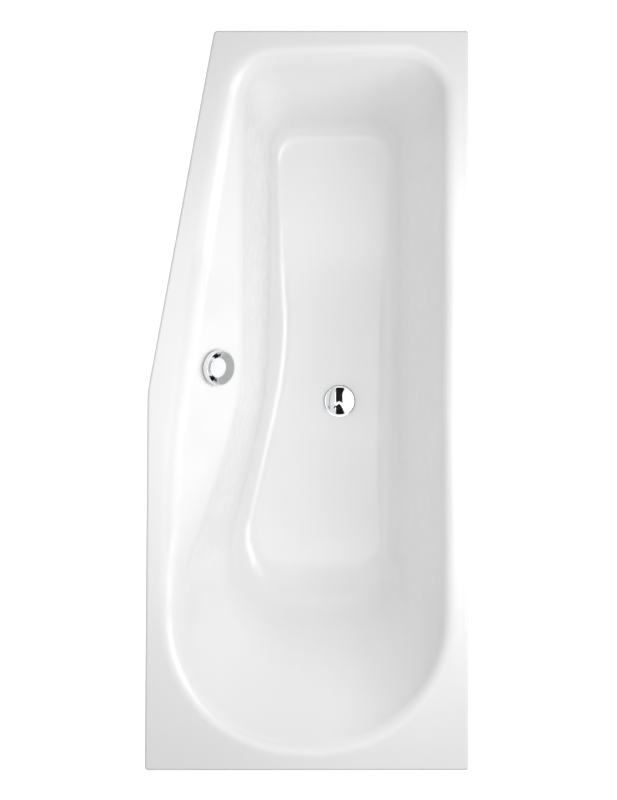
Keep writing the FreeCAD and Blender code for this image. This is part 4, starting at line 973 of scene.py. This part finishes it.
for card_name, (band, grey) in PLUG_CARDS.items():
    hang_card(card_name, [seen_in_plug(x, y) for x, y in band], [range(len(band))], grey)
for card_name, (angles, radii, grey) in DISH_CARDS.items():
    dish_points = [seen_in_dish(math.radians(angle), radius) for angle in angles for radius in radii]
    dish_faces = [(i, i + 1, i + 3, i + 2) for i in range(0, len(dish_points) - 2, 2)]
    hang_card(card_name, dish_points, dish_faces, grey)
for card_name, way in GLANCE_CARDS.items():
    corners = glance_corners(way)
    hang_card(card_name, corners, [range(len(corners))], CARD_BLACK)
print("cards over the chrome:", len(PLUG_CARDS) + len(DISH_CARDS) + len(GLANCE_CARDS))

# %% [markdown]
# Most of the other pieces are turned or moulded, and their solids are right as they are. Only the
# shading of the solids is flat, facet by facet. So each one gets a copy whose loose triangles are
# merged, which lets the round faces shade smoothly, and the copy takes the finish of its slot.

# %% Turned and moulded pieces
MERGE_DISTANCE = 0.001 * MM
FLAT_NODES = ("floor_pads", "earth_tab", "foot_rail", "head_rail", "rail_strips")
FEET = ("foot_free_side", "foot_wall_side", "head_free_side", "head_wall_side")
THREADED_NODES = ["rail_studs", "earth_bolt"] + [foot + "_spindle" for foot in FEET]

slot_of = {part["node"]: part["material_slot"] for part in frame["record"]["subparts"]}
body_of = {}
for body, nodes in frame["record"]["behaviour"]["bodies"].items():
    body_of.update({node: body for node in nodes})


def place_piece(made, node):
    """The piece stands for a solid: same body, same finish slot."""
    if not made.data.materials:
        made.data.materials.append(finishes[slot_of[node]])
    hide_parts(node)
    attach(made, body_of[node])


def smooth_copy(node):
    solid = frame["nodes"][node].data
    data = bpy.data.meshes.new(node)
    data.from_pydata([v.co for v in solid.vertices], [], [list(p.vertices) for p in solid.polygons])
    mesh = bmesh.new()
    mesh.from_mesh(data)
    bpy.data.meshes.remove(data)
    bmesh.ops.remove_doubles(mesh, verts=mesh.verts, dist=MERGE_DISTANCE)
    made = finished_object(node + "_piece", mesh)
    shade(made)
    return made


made_otherwise = {"bath_shell", *FLAT_NODES, *THREADED_NODES}
copied = [node for node in sorted(frame["nodes"]) if node not in made_otherwise]
for node in copied:
    place_piece(smooth_copy(node), node)
print("smooth copies:", len(copied))

# %% [markdown]
# Folded rails, rubber strips, felt pads and the earthing tab have flat faces, so their solids stay,
# and only their finish is changed.

# %% Flat pieces
for node in FLAT_NODES:
    solid = frame["nodes"][node].data
    solid.materials.clear()
    solid.materials.append(finishes[slot_of[node]])
print("solids that stay:", len(FLAT_NODES))

# %% [markdown]
# The foot spindles, the welded studs and the earthing bolt have metric threads. A thread repeats
# round a path, so a Geometry Nodes tree makes it: a spiral carries a four-sided ridge, a plain core
# fills the middle, and the pair is put on every point of a small mesh. The sizes are inputs of the
# tree, so one tree serves all threads.

# %% Thread tree
RIDGE_CORNERS = 4
SPIRAL_STEPS = 18
CORE_STEPS = 24


def thread_tree():
    tree = bpy.data.node_groups.new("metric_thread", "GeometryNodeTree")
    sockets = tree.interface
    sockets.new_socket("Geometry", in_out="INPUT", socket_type="NodeSocketGeometry")
    for name in ("Crest Radius", "Pitch", "Length", "Ridge"):
        sockets.new_socket(name, in_out="INPUT", socket_type="NodeSocketFloat")
    sockets.new_socket("Finish", in_out="INPUT", socket_type="NodeSocketMaterial")
    sockets.new_socket("Geometry", in_out="OUTPUT", socket_type="NodeSocketGeometry")
    return tree


def add_math(tree, operation, first, second):
    node = tree.nodes.new("ShaderNodeMath")
    node.operation = operation
    tree.links.new(first, node.inputs[0])
    tree.links.new(second, node.inputs[1])
    return node.outputs[0]


def lifted(tree, geometry, height):
    lift = tree.nodes.new("ShaderNodeCombineXYZ")
    tree.links.new(height, lift.inputs["Z"])
    raised = tree.nodes.new("GeometryNodeTransform")
    tree.links.new(geometry, raised.inputs["Geometry"])
    tree.links.new(lift.outputs["Vector"], raised.inputs["Translation"])
    return raised.outputs["Geometry"]


def thread_ridge(tree, sizes, radius, climb, turns):
    """Spiral with a four-sided ridge along it."""
    spiral = tree.nodes.new("GeometryNodeCurveSpiral")
    spiral.inputs["Resolution"].default_value = SPIRAL_STEPS
    tree.links.new(turns, spiral.inputs["Rotations"])
    tree.links.new(radius, spiral.inputs["Start Radius"])
    tree.links.new(radius, spiral.inputs["End Radius"])
    tree.links.new(climb, spiral.inputs["Height"])
    upright = tree.nodes.new("GeometryNodeSetCurveNormal")
    upright.mode = "Z_UP"
    tree.links.new(spiral.outputs["Curve"], upright.inputs["Curve"])
    ridge = tree.nodes.new("GeometryNodeCurvePrimitiveCircle")
    ridge.inputs["Resolution"].default_value = RIDGE_CORNERS
    tree.links.new(sizes.outputs["Ridge"], ridge.inputs["Radius"])
    sweep = tree.nodes.new("GeometryNodeCurveToMesh")
    sweep.inputs["Fill Caps"].default_value = True
    tree.links.new(upright.outputs["Curve"], sweep.inputs["Curve"])
    tree.links.new(ridge.outputs["Curve"], sweep.inputs["Profile Curve"])
    return lifted(tree, sweep.outputs["Mesh"], sizes.outputs["Ridge"])


def thread_core(tree, sizes, radius):
    core = tree.nodes.new("GeometryNodeMeshCylinder")
    core.inputs["Vertices"].default_value = CORE_STEPS
    tree.links.new(radius, core.inputs["Radius"])
    tree.links.new(sizes.outputs["Length"], core.inputs["Depth"])
    half = tree.nodes.new("ShaderNodeMath")
    half.operation = "MULTIPLY"
    half.inputs[1].default_value = 0.5
    tree.links.new(sizes.outputs["Length"], half.inputs[0])
    return lifted(tree, core.outputs["Mesh"], half.outputs[0])


def build_thread_tree():
    tree = thread_tree()
    sizes = tree.nodes.new("NodeGroupInput")
    result = tree.nodes.new("NodeGroupOutput")
    centre = add_math(tree, "SUBTRACT", sizes.outputs["Crest Radius"], sizes.outputs["Ridge"])
    both_ends = add_math(tree, "ADD", sizes.outputs["Ridge"], sizes.outputs["Ridge"])
    climb = add_math(tree, "SUBTRACT", sizes.outputs["Length"], both_ends)
    turns = add_math(tree, "DIVIDE", climb, sizes.outputs["Pitch"])
    shank = tree.nodes.new("GeometryNodeJoinGeometry")
    tree.links.new(thread_ridge(tree, sizes, centre, climb, turns), shank.inputs["Geometry"])
    tree.links.new(thread_core(tree, sizes, centre), shank.inputs["Geometry"])
    repeat = tree.nodes.new("GeometryNodeInstanceOnPoints")
    tree.links.new(sizes.outputs["Geometry"], repeat.inputs["Points"])
    tree.links.new(shank.outputs["Geometry"], repeat.inputs["Instance"])
    real = tree.nodes.new("GeometryNodeRealizeInstances")
    painted = tree.nodes.new("GeometryNodeSetMaterial")
    tree.links.new(repeat.outputs["Instances"], real.inputs["Geometry"])
    tree.links.new(real.outputs["Geometry"], painted.inputs["Geometry"])
    tree.links.new(sizes.outputs["Finish"], painted.inputs["Material"])
    tree.links.new(painted.outputs["Geometry"], result.inputs["Geometry"])
    return tree


metric_thread = build_thread_tree()
print("thread tree nodes:", len(metric_thread.nodes))

# %% [markdown]
# Each threaded piece is a threaded shank with plain ends: a hexagon to turn the spindle by, a round
# weld foot on the stud, or a hexagon head on the bolt. The ends are short prisms with a small
# chamfer. Places come from the boxes of the solids, so the threads stand exactly where the solids
# do, and the crests stay inside them.

# %% Threaded pieces
CHAMFER = 0.6
HEXAGON = 6
ROUND = 32


def add_prism(mesh, sides, radius, place, low, high):
    """Upright prism with a chamfer at both ends. For a hexagon the radius is to its corners."""
    chamfer = min(CHAMFER, (high - low) / 4)
    small = radius - chamfer
    levels = ((small, low), (radius, low + chamfer), (radius, high - chamfer), (small, high))
    angles = [2 * math.pi * (step + 0.5) / sides for step in range(sides)]
    loops = []
    for reach, z in levels:
        ring = [Vector((place.x + reach * math.cos(a), place.y + reach * math.sin(a), z)) for a in angles]
        loops.append([mesh.verts.new(point * MM) for point in ring])
    for lower, upper in zip(loops, loops[1:]):
        for i in range(sides):
            mesh.faces.new((lower[i - 1], lower[i], upper[i], upper[i - 1]))
    mesh.faces.new(loops[0][::-1])
    mesh.faces.new(loops[-1])


def threaded_shank(name, places, crest, pitch, length, ridge):
    """Object with one threaded shank standing on each place."""
    data = bpy.data.meshes.new(name)
    data.from_pydata([place * MM for place in places], [], [])
    made = add_object(name, data)
    modifier = made.modifiers.new("thread", "NODES")
    modifier.node_group = metric_thread
    values = {"Crest Radius": crest * MM, "Pitch": pitch * MM, "Length": length * MM, "Ridge": ridge * MM,
              "Finish": finishes["zinc"]}
    for item in metric_thread.interface.items_tree:
        if item.in_out == "INPUT" and item.name in values:
            modifier[item.identifier] = values[item.name]
    evaluated_mesh(made)
    return made


def add_ends(made, prisms):
    """Adds plain prisms to a threaded shank, in the same mesh."""
    mesh = bmesh.new()
    mesh.from_mesh(made.data)
    for sides, radius, place, low, high in prisms:
        add_prism(mesh, sides, radius, place, low, high)
    bmesh.ops.recalc_face_normals(mesh, faces=mesh.faces)
    mesh.to_mesh(made.data)
    mesh.free()
    shade(made)


def corner_radius(flats):
    return flats / 2 / math.cos(math.pi / HEXAGON)


print("helpers for threaded pieces ready")

# %% [markdown]
# A foot spindle is a threaded rod: a plain end sits in the foot cup, a hexagon collar above it
# takes a spanner, and a small hexagon at the top can be turned from above. The rod could be one
# turned profile with a bump for the thread, but a bump has no outline, and the spindles are seen
# from the side.

# %% Foot spindles
SPINDLE_RADIUS = 6.0
SPINDLE_PITCH = 1.75
SPINDLE_RIDGE = 0.7
SPINDLE_DRIVE = 12.0
SPINDLE_DRIVE_FLATS = 8.0
SPINDLE_COLLAR = 8.0
SPINDLE_COLLAR_FLATS = 19.0
CUP_DEPTH = 16.0


def foot_spindle(foot):
    low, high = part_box(foot + "_spindle")
    middle = (low + high) / 2 / MM
    bottom = low.z / MM
    top = high.z / MM
    collar = bottom + CUP_DEPTH
    start = collar + SPINDLE_COLLAR
    made = threaded_shank(foot + "_spindle_piece", [Vector((middle.x, middle.y, start))], SPINDLE_RADIUS,
                          SPINDLE_PITCH, top - SPINDLE_DRIVE - start, SPINDLE_RIDGE)
    add_ends(made, [
        (ROUND, SPINDLE_RADIUS, middle, bottom, collar),
        (HEXAGON, corner_radius(SPINDLE_COLLAR_FLATS), middle, collar, start),
        (HEXAGON, corner_radius(SPINDLE_DRIVE_FLATS), middle, top - SPINDLE_DRIVE, top),
    ])
    place_piece(made, foot + "_spindle")
    return made


spindles = [foot_spindle(foot) for foot in FEET]
print("faces of a spindle:", len(spindles[0].data.polygons))

# %% [markdown]
# Four studs are welded under the floor and hold the rails. They share one node, so one mesh with
# four points carries all four shanks. The earthing bolt is the same kind of piece with a hexagon
# head, so the same tree makes it.

# %% Studs and earthing bolt
STUD_RADIUS = 4.0
STUD_PITCH = 1.25
STUD_RIDGE = 0.5
STUD_FOOT = 1.5
STUD_FOOT_RADIUS = 8.0
BOLT_RADIUS = 3.0
BOLT_PITCH = 1.0
BOLT_RIDGE = 0.4
BOLT_HEAD = 4.0
BOLT_FLATS = 10.0


def stud_places():
    """Centres of the four studs: the corners of their common box, a weld foot's radius inside it."""
    low, high = (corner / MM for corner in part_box("rail_studs"))
    xs = (low.x + STUD_FOOT_RADIUS, high.x - STUD_FOOT_RADIUS)
    ys = (low.y + STUD_FOOT_RADIUS, high.y - STUD_FOOT_RADIUS)
    return [Vector((x, y, low.z)) for x in xs for y in ys], high.z


places, stud_top = stud_places()
studs = threaded_shank("rail_studs_piece", places, STUD_RADIUS, STUD_PITCH,
                       stud_top - STUD_FOOT - places[0].z, STUD_RIDGE)
add_ends(studs, [(ROUND, STUD_FOOT_RADIUS, place, stud_top - STUD_FOOT, stud_top) for place in places])
place_piece(studs, "rail_studs")

bolt_low, bolt_high = (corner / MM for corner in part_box("earth_bolt"))
bolt_middle = (bolt_low + bolt_high) / 2
bolt_seat = bolt_low.z + BOLT_HEAD
bolt = threaded_shank("earth_bolt_piece", [Vector((bolt_middle.x, bolt_middle.y, bolt_seat))], BOLT_RADIUS,
                      BOLT_PITCH, bolt_high.z - bolt_seat, BOLT_RIDGE)
add_ends(bolt, [(HEXAGON, corner_radius(BOLT_FLATS), bolt_middle, bolt_low.z, bolt_seat)])
place_piece(bolt, "earth_bolt")
print("stud places:", [tuple(round(v, 1) for v in place) for place in places])
